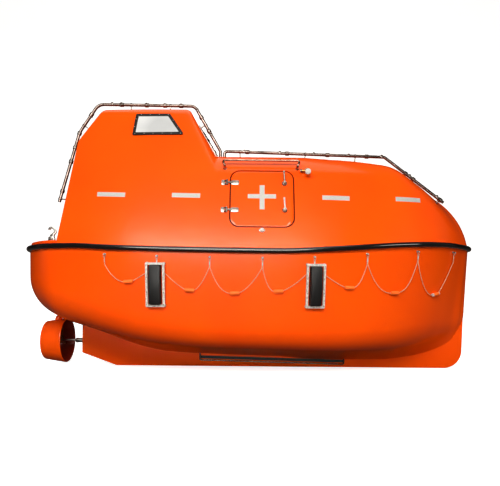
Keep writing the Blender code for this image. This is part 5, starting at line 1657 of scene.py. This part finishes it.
# %% Spray pipes
TOWER_PIPE = (
    ((-2.155, -0.60, 1.930), 0.0), ((-1.975, -0.47, 2.760), 0.30),
    ((-1.765, PIPE_Y, 3.092), 0.12), ((-0.646, PIPE_Y, 3.080), 0.09),
    ((-0.345, PIPE_Y, 2.560), 0.05),
)
ROOF_PIPE = (
    ((-0.298, PIPE_Y, 2.560), 0.035), ((1.557, PIPE_Y, 2.507), 0.06),
    ((2.230, -0.50, 1.976), 0.0),
)
foot = skin_hit(CANOPY_SKIN, TOWER_PIPE[-1][0], DOWN) + Vector((0, 0, 0.001))
tower_path = bent(TOWER_PIPE + ((tuple(foot), 0.0),), 12)
tower = spray_pipe(
    "tower_spray_pipe_new", tower_path,
    ((2, 2.055, 0.018), (2, 2.404, 0.020), (2, 2.570, 0.018), (2, 2.745, 0.020), (2, 2.965, 0.024),
     (0, -1.4955, 0.022), (0, -1.204, 0.022), (0, -0.992, 0.022), (0, -0.806, 0.022),
     (0, -0.569, 0.018), (0, -0.480, 0.020)),
    ((2, 2.404), (2, 2.570), (2, 2.745), (0, -1.602), (0, -1.4955), (0, -1.204), (0, -0.992),
     (0, -0.806), (0, -0.616), (0, -0.480), (0, -0.453)),
    ((2, 1.965, (1, 0.1, 0)), (2, 2.840, (0.8, 0.2, -0.5)), (0, -1.385, DOWN), (0, -0.930, DOWN),
     (0, -0.520, (-0.75, 0, -0.6))))
flange = turned("flange", ((0.030, 0.0), (0.030, 0.004), (0.0275, 0.0055), (0.019, 0.006),
                           (0.019, 0.016), (PIPE_RADIUS, 0.018)), aimed(foot, (0, 0, 1)),
                PIPE_STEEL, 40)
tower = joined("tower_spray_pipe_new", [tower, flange])
foot = skin_hit(CANOPY_SKIN, ROOF_PIPE[0][0], DOWN) + Vector((0, 0, 0.001))
roof_path = bent(((tuple(foot), 0.0),) + ROOF_PIPE, 12)
roof = spray_pipe(
    "roof_spray_pipe_new", roof_path,
    ((0, -0.0325, 0.022), (0, 0.4276, 0.022), (0, 0.898, 0.022), (0, 1.3525, 0.022),
     (0, 1.800, 0.018), (0, 1.886, 0.018), (0, 2.190, 0.024)),
    ((0, -0.068), (0, 0.343), (0, 0.736), (0, 1.140), (0, 1.522), (0, 1.843), (0, 2.150)),
    ((0, -0.117, DOWN), (0, 0.640, DOWN), (0, 1.220, DOWN), (0, 2.195, (-0.45, 0.25, -0.86))))
for name, piece in (("tower_spray_pipe", tower), ("roof_spray_pipe", roof)):
    both_sides(piece, f"{name}_new", "boat", name)

# %% [markdown]
# ## Door rails
# A grab rail of bent 25 mm tube runs above each door. It stands on two round flanges and
# rises a little from each, so a line with rounded corners makes it in one go.

# %% Door rails
RAIL_K = 2.262
_, rail_out, rail_up = canopy_side(0.0, RAIL_K)
ends, flanges = [], []
for x, step in ((-0.270, -0.03), (0.508, 0.03)):
    start = canopy_side(x, RAIL_K)[0] + rail_out * 0.2
    hit, square, _, _ = CANOPY_SKIN.ray_cast(start, -rail_out)
    elbow = hit + square * 0.050
    ends.append([(tuple(hit + square * 0.001), 0.0), (tuple(elbow), 0.022),
                 (tuple(elbow + rail_up * 0.065 + Vector((step, 0, 0))), 0.022)])
    flanges.append(turned("flange", ((0.020, 0.0006), (0.020, 0.003), (0.0185, 0.0045),
                                     (0.0130, 0.005)), aimed(hit, square), RAIL_STEEL, 36))
# painted reflection: the rail and its flanges take the warm red-brown of the reflected orange
# canopy
rail_tube = pipe("rail", bent(ends[0] + ends[1][::-1], 10), 0.0125, RAIL_STEEL, 8)
both_sides(joined("grab_rail", [rail_tube] + flanges), "door_grab_rail", "boat", "door_rail")

# %% [markdown]
# ## Hose connection
# A fire hose is coupled here to feed the spray pipes. It is on the starboard side only: a
# brass flange with four bolts, an elbow that turns the bore outwards, a white cap over its
# mouth, and the stub of its valve. All but the elbow are turned pieces.

# %% Hose connection
seat = seated(CANOPY_SKIN, (0.612, -2.0, 2.222), INBOARD, (1, 0, 0), 0.034, 0.034)
flange_seat = seat @ Matrix.Translation((0, 0.018, 0))
body = turned("hose_body", ((0.030, 0.0006), (0.030, 0.007), (0.027, 0.010), (0.0200, 0.013),
                            (0.0190, 0.024)), flange_seat, BRASS, 40)
start = seat.translation
elbow = pipe("hose_elbow", bent(((flange_seat @ Vector((0, 0, 0.016)), 0.0),
                                 (flange_seat @ Vector((0, 0, 0.042)), 0.022),
                                 (start + Vector((0.002, -0.072, -0.004)), 0.0)), 8), 0.0175,
             BRASS, 10)
cap = turned("hose_cap", ((0.021, 0.0), (0.024, 0.003), (0.030, 0.006), (0.031, 0.010),
                          (0.031, 0.030), (0.029, 0.037), (0.024, 0.0395), (0.006, 0.040)),
             aimed(start + Vector((0.002, -0.062, -0.006)), (0.03, -1.0, -0.12)), WHITE_CAP, 40)
bolts = scattered("hose_bolts", bolt(0.0042, 0.004), [
    flange_seat @ Matrix.Rotation(math.tau * (i + 0.5) / 4, 4, "Z")
    @ Matrix.Translation((0.0245, 0, 0.0085))
    for i in range(4)])
valve = turned_bar("valve", seat @ Vector((-0.078, 0.004, 0.026)),
                   seat @ Vector((-0.012, 0.0, 0.026)), 0.0125, BRASS)
nut = bolt(0.017, 0.014)
nut.data.transform(aimed(seat @ Vector((-0.060, 0.003, 0.026)),
                         seat.to_3x3() @ Vector((-1, 0, 0))))
settled(joined("hose_coupling", [body, elbow, cap, bolts, valve, nut]), "boat", "hose_connection")

# %% [markdown]
# ## Fenders
# Each fender is a black rubber block in a welded frame of flat steel, carried off the hull
# on four short feet. The block slides down the ship's side when the boat is lowered, so it
# has a ridge across its middle and falls away above and below it. The block is a plate that
# is bisected where the ridge runs, and then its outer points are moved.

# %% Fenders
FENDER_X = (-0.963, 0.683)
FENDER_K = 1.000
FENDER_HALF = (0.100, 0.230)
FENDER_BAR, FENDER_THICK, FENDER_OFF = 0.024, 0.028, 0.020
FOOT_X, FOOT_Y = FENDER_HALF[0] - 0.012, FENDER_HALF[1] - 0.012
PAD_HALF, PAD_RIDGE, PAD_FALL = 0.064, 0.100, (0.026, 0.020)    # fall above and below it
for label, x in zip(("aft", "fore"), FENDER_X):
    seat = seated(HULL_SKIN, (x, -2.0, FENDER_K), INBOARD, (1, 0, 0), *FENDER_HALF)
    out = seat.to_3x3() @ Vector((0, 0, 1))
    frame_bar = plate("bar", rounded_box(*FENDER_HALF, 0.012), seat, FENDER_OFF,
                      FENDER_OFF + FENDER_THICK, ZINC)
    hole = rounded_box(FENDER_HALF[0] - FENDER_BAR, FENDER_HALF[1] - FENDER_BAR, 0.008)
    cut(frame_bar, plate("hole", hole, seat, 0.0, 0.08))
    parts = [eased(frame_bar, 0.0025, 3)]
    for sx in (-1, 1):
        for sy in (-1, 1):
            spot = seat @ Vector((sx * FOOT_X, sy * FOOT_Y, FENDER_OFF + 0.006))
            foot = skin_hit(HULL_SKIN, spot, -out)
            parts.append(turned_bar("foot", foot - out * 0.0005, spot, 0.009))
            parts.append(turned("washer", ((0.016, 0.0), (0.016, 0.003), (0.014, 0.004)),
                                aimed(foot, out), POLISHED, 28))
    heads = [seat @ Matrix.Translation((sx * FOOT_X, y, FENDER_OFF + FENDER_THICK))
             for sx in (-1, 1) for y in (-0.205, -0.075, 0.075, 0.205)]
    parts.append(scattered("fender_bolts", screw(0.0062, 0.0045), heads))
    half_y = FENDER_HALF[1] - FENDER_BAR + 0.002
    block = plate("block", rounded_box(PAD_HALF, half_y, 0.018), seat, FENDER_OFF + 0.003,
                  0.060, PAD_RUBBER)
    edit_all(block)
    bpy.ops.mesh.bisect(plane_co=seat @ Vector((0, 0.004, 0)),
                        plane_no=seat.to_3x3() @ Vector((0, 1, 0)))
    bpy.ops.object.mode_set(mode="OBJECT")
    inverse = seat.inverted()
    for vertex in block.data.vertices:
        spot = inverse @ vertex.co
        if spot.z > 0.05:
            spot.z = PAD_RIDGE - PAD_FALL[spot.y < 0] * abs(spot.y) / half_y
            spot.x *= 0.90
            spot.y *= 0.97
            vertex.co = seat @ spot
    parts.append(smooth(eased(block, 0.007, 4, 22), 50))
    both_sides(joined("fender", parts), f"fender_{label}_new", "boat", f"fender_{label}")

# %% [markdown]
# ## Lifelines
# A pale rope of 8 mm hangs in loops from eyes under the rail, for people in the water to hold
# on to. It leaves the boat at the first eye and comes back to it at the last. Between two
# eyes it would hang in a plain arc, but the float on each loop pulls it down to one side, so
# each loop falls to a flatter bottom with its own power on either side of the float. The rope
# lies against the topside, and behind the fenders it lies closer.

# %% Lifeline route
EYE_X = (-1.50, -0.95, -0.405, 0.136, 0.671, 1.225, 1.81, 2.346)
EYE_DROP = 0.072
LOOP_SAG = (0.296, 0.371, 0.384, 0.365, 0.360, 0.440, 0.500)
FLOAT_SHIFT = (-0.022, 0.066, -0.012, -0.102, 0.093, 0.037, 0.022)    # off the loop's middle
LOOP_POWER = ((2.6, 1.2), (1.3, 2.0), (2.8, 1.8), (3.0, 1.5), (1.3, 2.8), (2.6, 3.0), (2.6, 1.4))
ROPE_RADIUS = 0.0040
ROPE_TOP, SPLIT = 0.036, 0.108     # the rope's turn and its parting, below the rope's height
ROPE_OFF = 0.018
ROPE_BEHIND = (0.0130, 0.0095)     # off the hull behind a fender, high up and low down
PEG_RISE = 0.0125


def topside(x, k):
    """A point of the starboard topside and the outward direction there."""
    hit, normal, _, _ = HULL_SKIN.ray_cast(Vector((x, -2.0, k)), Vector(INBOARD))
    return hit, normal if normal.y < 0 else -normal


def rope_height(x):
    """The height of the rope's turn on an eye at x."""
    return gunwale(x)[1] - EYE_DROP + PEG_RISE


def rope_at(i, x):
    """The height of loop i at x."""
    x0, x1 = EYE_X[i], EYE_X[i + 1]
    k0, k1 = rope_height(x0), rope_height(x1)
    middle = (x0 + x1) / 2 + FLOAT_SHIFT[i]
    q = (x - middle) / (x1 - middle) if x > middle else (middle - x) / (middle - x0)
    fall = SPLIT + (LOOP_SAG[i] - SPLIT) * (1 - min(q, 1.0) ** LOOP_POWER[i][x > middle])
    return k0 + (k1 - k0) * (x - x0) / (x1 - x0) - fall


def loop_route(i, steps=28):
    """Loop i, as x, height and distance in front, from the first eye's turn to the second's."""
    x0, x1 = EYE_X[i], EYE_X[i + 1]
    k0, k1 = rope_height(x0) - ROPE_TOP, rope_height(x1) - ROPE_TOP
    near, far = x0 + ROPE_RADIUS, x1 - ROPE_RADIUS
    route = [(x0 + 0.0035, k0 - 0.002, 0.006), (near, k0 - 0.010, 0.006),
             (near, k0 - 0.026, 0.001)]
    for j in range(steps + 1):
        x = near + (far - near) * (1 - math.cos(math.pi * j / steps)) / 2
        route.append((x, rope_at(i, x), 0.0))
    return route + [(far, k1 - 0.026, -0.001), (far, k1 - 0.010, -0.006),
                    (x1 - 0.0035, k1 - 0.002, -0.006), (x1, k1, 0.0)]


def off_hull(x, k, extra=0.0):
    """The rope's centre at x and k: it hangs close to the hull, and closer behind a fender."""
    point, normal = topside(x, k)
    behind = min(1.0, max(0.0, (0.185 - min(abs(x - c) for c in FENDER_X)) / 0.04))
    near = ROPE_BEHIND[k < FENDER_K + 0.25]
    return point + normal * (ROPE_OFF + (near - ROPE_OFF) * behind + extra)


route = [(EYE_X[0], rope_height(EYE_X[0]) - ROPE_TOP, 0.0)]
for i in range(len(LOOP_SAG)):
    route += loop_route(i)
centres = [off_hull(x, k, front) - Vector((0, 0, DRAFT)) for x, k, front in route]

# %% [markdown]
# ## Eyes and whippings
# Each eye is a turned peg with a white cap and a small shackle, which takes the rope. Under
# it, white twine binds the rope's two parts. The first and last whipping hold one part only.

# %% Eyes and whippings
eye_parts, cap_parts = [], []
for x in EYE_X:
    point, normal = topside(x, gunwale(x)[1] - EYE_DROP)
    eye_parts.append(turned("peg", ((0.013, -0.002), (0.013, 0.002), (0.0105, 0.004),
                                    (0.0058, 0.006), (0.0058, 0.026), (0.0085, 0.027),
                                    (0.0085, 0.0285), (0.006, 0.0295)),
                            aimed(point, normal), POLISHED, 24))
    cap_parts.append(turned("cap", ((0.0070, 0.030), (0.0070, 0.032), (0.005, 0.0345),
                                    (0.001, 0.0355)), aimed(point, normal), WHITE_CAP, 20))
    hang = panel_frame(point + normal * ROPE_OFF - Vector((0, 0, 0.0125)), (1, 0, 0),
                       Vector((0, 0, 1)) - normal * normal.z)
    shackle = [tuple(hang @ Vector((a, b, 0))) for a, b in
               ((0, 0.0210), (0.0095, 0.0185), (0.0100, 0.0), (0.0095, -0.0165), (0, -0.0190),
                (-0.0095, -0.0165), (-0.0100, 0.0), (-0.0095, 0.0185), (0, 0.0210))]
    line = bent([(p, 0.0 if i in (0, 8) else 0.006) for i, p in enumerate(shackle)], 4)
    eye_parts.append(pipe("shackle", line, 0.0023, POLISHED, 6))
    top = rope_height(x) - ROPE_TOP - 0.022
    upper, lower = off_hull(x, top), off_hull(x, top - 0.034)
    wide, aside = ROPE_RADIUS * 1.9, 0.0
    if x in (EYE_X[0], EYE_X[-1]):
        wide, aside = wide * 0.6, 0.0022 if x < 0 else -0.0022
    cap_parts.append(turned("whipping", ((wide * 0.8, 0.0), (wide, 0.003), (wide, 0.031),
                                         (wide * 0.8, 0.034)),
                            aimed(lower + Vector((aside, 0, 0)), upper - lower), WHITE_CAP, 18))
both_sides(joined("eyes", eye_parts), "lifeline_eyes")
both_sides(joined("caps", cap_parts), "lifeline_caps_and_whippings")

# %% [markdown]
# ## Floats
# An orange foam float is threaded on each loop. It is a turned piece along the rope's own
# direction where it sits. The one by the bow has a white collar at both ends.

# %% Floats
FLOAT_STEPS = ((0.0065, -0.052), (0.0155, -0.051), (0.0195, -0.046), (0.0207, -0.030),
               (0.0207, 0.030), (0.0195, 0.046), (0.0155, 0.051), (0.0065, 0.052))
float_parts = []
for i in range(len(LOOP_SAG)):
    middle = (EYE_X[i] + EYE_X[i + 1]) / 2 + FLOAT_SHIFT[i]
    a = off_hull(middle - 0.045, rope_at(i, middle - 0.045), 0.003)
    b = off_hull(middle + 0.045, rope_at(i, middle + 0.045), 0.003)
    centre, along = (a + b) / 2, (Vector((1, 1, 0.5)) * (b - a)).normalized()
    float_parts.append(turned("float", FLOAT_STEPS, aimed(centre, along), FLOAT_FOAM, 28))
    if i == len(LOOP_SAG) - 1:
        for end in (-0.049, 0.049):
            float_parts.append(turned_bar("collar", centre + along * (end - 0.007),
                                          centre + along * (end + 0.007), 0.0185, WHITE_CAP, 28))
floats = both_sides(joined("floats", float_parts), "lifeline_floats")

# %% [markdown]
# ## Ropes
# Both lifelines are limp ropes that hang in loops, with both ends at the boat. Each is a
# curve of one open spline. The port one takes the same points, mirrored.

# %% Ropes
for label, sign in (("starboard", 1.0), ("port", -1.0)):
    points = [Vector((p.x, p.y * sign, p.z)) for p in centres]
    line = thick_line(points, ROPE_RADIUS, 3)
    line.name = f"lifeline_rope_{label}"
    line.data.materials.append(ROPE)
    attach(line, "boat")
    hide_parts(f"lifeline_{label}")
    print(line.name, "-", len(points), "points")

# %% [markdown]
# ## Stern deck
# A small moulded deck closes the stern behind the tower, with a raised seat for the towing
# gear. Its outline is the hull's own edge, drawn in a little, and read from the hull's table.

# %% Deck
DECK_THICK, DECK_INSET = 0.036, 0.014
DECK_MIDDLE = -1.90
end = AFT_FACE_X - SEAT * 2
outline = []
for u in HULL_PLACES:
    x, y = between(HULL_ROWS, u, 1)[:2]
    if x > end - 0.02:
        break
    length = math.hypot(x - DECK_MIDDLE, y)
    outline.append((x - (x - DECK_MIDDLE) / length * DECK_INSET, y * (1 - DECK_INSET / length)))
outline.append((end, gunwale(end)[0] - DECK_INSET))
outline = outline + [(x, -y) for x, y in reversed(outline[1:])]
low = gunwale(-2.2)[1] + RIM + SEAT
deck_top = low + DECK_THICK
deck = plate("stern_deck", outline, UNMOVED, low, deck_top, GELCOAT, 0.012, 5)
pad = plate("pad", [(x - 2.305, y) for x, y in rounded_box(0.055, 0.130, 0.020)],
            UNMOVED, deck_top - 0.01, deck_top + 0.045, GELCOAT, 0.010, 4)
cut(deck, pad, "UNION")
settled(smooth(deck), "boat", "aft_deck")

# %% [markdown]
# ## Fall hooks
# The davit's falls lift the boat by two hooks. Each hook hangs between two cheek plates on a
# bolted foot and tips on a pin when it is released. Hook and cheeks are cut from thick plate,
# so each is an outline with round corners, drawn out, and the hook is then bored.

# %% Hooks
HOOK_OUTLINE = ((-0.025, -0.02), (0.025, -0.02), (0.030, 0.05), (0.055, 0.085), (0.050, 0.135),
                (0.010, 0.160), (-0.035, 0.150), (-0.050, 0.118), (-0.034, 0.108), (-0.020, 0.126),
                (0.008, 0.130), (0.026, 0.112), (0.022, 0.085), (-0.022, 0.050))
HOOK_RADII = (0.012, 0.012, 0.02, 0.02, 0.022, 0.025, 0.02, 0.004, 0.004, 0.012, 0.014, 0.014,
              0.012, 0.010)
for label, x, base_k in (("aft", -2.47, deck_top + SEAT), ("fore", 2.08, 1.62 + SEAT)):
    pin = Vector((x, 0.0, base_k + 0.100))
    foot = plate("foot", [(a + x, b) for a, b in rounded_box(0.055, 0.045, 0.010)],
                 UNMOVED, base_k, base_k + 0.012, SATIN, 0.0015, 2)
    parts = [foot]
    cheek = rounded(((x - 0.045, base_k + 0.005, 0.0), (x + 0.045, base_k + 0.005, 0.0),
                     (x + 0.035, pin.z + 0.030, 0.020), (x - 0.035, pin.z + 0.030, 0.020)))
    for y in (-0.033, 0.021):
        parts.append(plate("cheek", cheek, SIDE_VIEW, y, y + 0.012, SATIN, 0.0015, 2))
    pin_half = Vector((0, 0.040, 0))
    parts.append(turned_bar("pin", pin - pin_half, pin + pin_half, 0.009))
    for y in (-1, 1):
        nut = bolt(0.0125, 0.006)
        nut.data.transform(aimed(pin + Vector((0, 0.0335 * y, 0)), (0, y, 0)))
        parts.append(nut)
    heads = [Matrix.Translation((x + a, b, base_k + 0.012)) for a in (-0.045, 0.045)
             for b in (-0.036, 0.036)]
    parts.append(scattered("foot_bolts", bolt(0.0058, 0.005), heads))
    settled(smooth(joined(f"{label}_hook_stand", parts)), "boat", f"{label}_hook_post")
    corners = [(pin.x + a, pin.z + b, r) for (a, b), r in zip(HOOK_OUTLINE, HOOK_RADII)]
    hook = plate(f"{label}_fall_hook", rounded(corners, 5), SIDE_VIEW, -0.015, 0.015, SATIN)
    cut(hook, turned_bar("bore", pin - Vector((0, 0.05, 0)), pin + Vector((0, 0.05, 0)), 0.0098))
    settled(smooth(eased(hook, 0.003, 3)), f"{label}_hook", f"{label}_hook")

# %% [markdown]
# ## Steering nozzle
# The propeller turns in a ring that swings on a vertical stock to steer the boat. The ring
# is a moulding in the hull's orange, with a darker red-brown inside that is painted shade.
# Its wall is a wing section, with a round lip in front and thin at the back, which is swept
# round the shaft's line.

# %% Nozzle
AXIS = Vector((0, 0, SHAFT_K))
RING_SIDES = 96
# x and radius round the wing section, from the lip back along the outside
RING_SECTION = (
    (-2.2585, 0.2665), (-2.2600, 0.2710), (-2.2650, 0.2738), (-2.2750, 0.2740),
    (-2.3750, 0.2580), (-2.4500, 0.2470), (-2.5120, 0.2363), (-2.5150, 0.2335),
    (-2.5120, 0.2285), (-2.4400, 0.2290), (-2.3750, 0.2400), (-2.3000, 0.2520),
    (-2.2680, 0.2600), (-2.2600, 0.2630),
)
rings = []
for i in range(RING_SIDES):
    angle = math.tau * i / RING_SIDES
    spoke = Vector((0.0, math.cos(angle), math.sin(angle)))
    rings.append([Vector((x, 0, SHAFT_K)) + spoke * r for x, r in RING_SECTION])
nozzle = grid("kort_nozzle", rings + [rings[0]], GELCOAT, wrap=True)
cleaned(nozzle, 0.00005)
# painted shade: the faces inside the ring get the darker red-brown copy of the gelcoat
nozzle.data.materials.append(NOZZLE_RED)
for face in nozzle.data.polygons:
    centre = face.center - AXIS
    if Vector((0, centre.y, centre.z)).dot(face.normal) < 0:
        face.material_index = 1
boss = turned("boss", ((0.046, 0.244), (0.045, 0.262), (0.038, 0.285), (0.034, 0.298),
                       (0.030, 0.301)),
              Matrix.Translation((NOZZLE_X, 0, SHAFT_K)), GELCOAT, 40)
stock = turned_bar("stock", (NOZZLE_X, 0, SHAFT_K + 0.249), (NOZZLE_X, 0, 0.898), 0.022, SATIN, 40)
nozzle = smooth(joined("kort_nozzle", [smooth(nozzle, 40), boss, stock]), 40)
settled(nozzle, "steering_nozzle", "steering_nozzle")

# %% [markdown]
# ## Propeller
# It is a bronze casting with four blades on a hub. A blade is steep at its root, where it
# moves slowly, and flatter at its tip. It is built of rings, each a flattened round of a
# given radius, chord and pitch, bent to a cylinder about the shaft.

# %% Propeller
# radius, chord and pitch in degrees
BLADE = ((0.025, 0.075, 62), (0.085, 0.125, 45), (0.150, 0.150, 33), (0.190, 0.110, 28),
         (0.2120, 0.045, 26))
BLADES, BLADE_RINGS, RING_POINTS = 4, 16, 20
screw_parts = [
    turned_bar("shaft", (-2.0920, 0, SHAFT_K), (-2.36, 0, SHAFT_K), 0.014, SATIN, 32),
    turned("hub", ((0.036, 0.0), (0.040, 0.004), (0.039, 0.030), (0.0335, 0.066), (0.030, 0.078),
                   (0.0285, 0.080), (0.0285, 0.084), (0.024, 0.100), (0.016, 0.113),
                   (0.006, 0.119)),
           aimed((-2.335, 0, SHAFT_K), (-1, 0, 0)), DARK_BRONZE, 48),
]
for b in range(BLADES):
    turn = Matrix.Rotation(math.tau * b / BLADES, 3, "X")
    rows = []
    for i in range(BLADE_RINGS + 1):
        u = i / BLADE_RINGS * (len(BLADE) - 1)
        j = min(int(u), len(BLADE) - 2)
        radius, chord, pitch = (BLADE[j][c] + (BLADE[j + 1][c] - BLADE[j][c]) * (u - j)
                                for c in range(3))
        angle = math.radians(pitch)
        row = []
        for n in range(RING_POINTS):
            around = math.tau * n / RING_POINTS
            across = math.cos(around) * chord / 2
            thick = math.sin(around) * (0.0050 - 0.0030 * i / BLADE_RINGS)
            thick *= 1.0 if n < RING_POINTS / 2 else 0.6
            swing = across * math.cos(angle) - thick * math.sin(angle)
            ahead = across * math.sin(angle) * 0.75 + thick * math.cos(angle)
            row.append(Vector((NOZZLE_X, 0, SHAFT_K)) + turn @ Vector(
                (ahead, swing, math.sqrt(max(radius ** 2 - swing ** 2, 0.0001)))))
        rows.append(row)
    screw_parts.append(smooth(closed(grid("blade", rows, DARK_BRONZE, wrap=True)), 50))
settled(joined("bronze_propeller", screw_parts), "propeller", "propeller")

# %% [markdown]
# ## Stern tube
# The shaft leaves the keel through a steel tube with a collar, which holds its bearing and
# keeps the water out. It is a turned piece that is bored through.

# %% Stern tube
tube_body = turned("stern_tube_new", ((0.0275, 0.0), (0.0275, 0.060), (0.031, 0.061),
                                      (0.031, 0.078), (0.029, 0.0825)),
                   aimed((-2.0703, 0, SHAFT_K), (-1, 0, 0)), POLISHED, 40)
cut(tube_body, turned_bar("bore", (-2.085, 0, SHAFT_K), (-2.20, 0, SHAFT_K), 0.0155))
settled(smooth(tube_body), "boat", "stern_tube")

# %% [markdown]
# ## Keel coolers
# The engine's cooling water runs through a tube outside the hull, beside the keel, whose ends
# go up into the bottom. A flat black strip lies above it, and it is painted shade: a dark
# sheet that draws the shaded slot beside the keel.

# %% Keel coolers
COOLER_ENDS = ((-0.60, 0.080), (1.18, 0.040))    # x, k
COOLER_BEND = 0.018
SHADE_STRIP_RISE, SHADE_STRIP_HALF = 0.037, 0.018
cooler_y = -(KEEL_HALF + 0.020)
low_ends = [Vector((x, cooler_y, k)) for x, k in COOLER_ENDS]
tops = [skin_hit(HULL_SKIN, low_end, (0, 0, 1)) for low_end in low_ends]
path = bent(((tuple(tops[0]), 0.0), (tuple(low_ends[0]), COOLER_BEND),
             (tuple(low_ends[1]), COOLER_BEND), (tuple(tops[1]), 0.0)), 8)
run = low_ends[1] - low_ends[0]
along = run.normalized()
up = along.cross(Vector((0, 1, 0))).normalized()
middle = (low_ends[0] + low_ends[1]) / 2 + up * SHADE_STRIP_RISE + Vector((0, 0.008, 0))
# painted shade: a dark strip stands for the shaded slot beside the keel
shade_strip = plate("shade_strip", rounded_box(run.length / 2 - 0.004, SHADE_STRIP_HALF, 0.006),
              panel_frame(middle, along, up), -0.002, 0.003, GASKET, bevel=0.001)
both_sides(joined("cooler", [pipe("tube", path, 0.010, PIPE_STEEL, 6), shade_strip]),
           "keel_cooler_new", "boat", "keel_cooler")

# %% [markdown]
# ## The CAD pieces that stay
# The benches, the sole, the helm and the engine are seen only through an open door, and the
# CAD model's shapes serve there. Each gets the finish of its real material.

# %% Finishes of the CAD pieces that stay
CAD_FINISH = {
    "cabin_sole": NONSLIP, "cabin_benches": LINER, "helm_seat": LINER, "helm_console": LINER,
    "bow_bracket": LINER, "engine_block": ENGINE_PAINT, "helm_wheel": GASKET,
}
left = []
for name, node in NODES.items():
    if name in CAD_FINISH:
        node.data.materials.clear()
        node.data.materials.append(CAD_FINISH[name])
        left.append(name)
print("CAD pieces shown:", left)
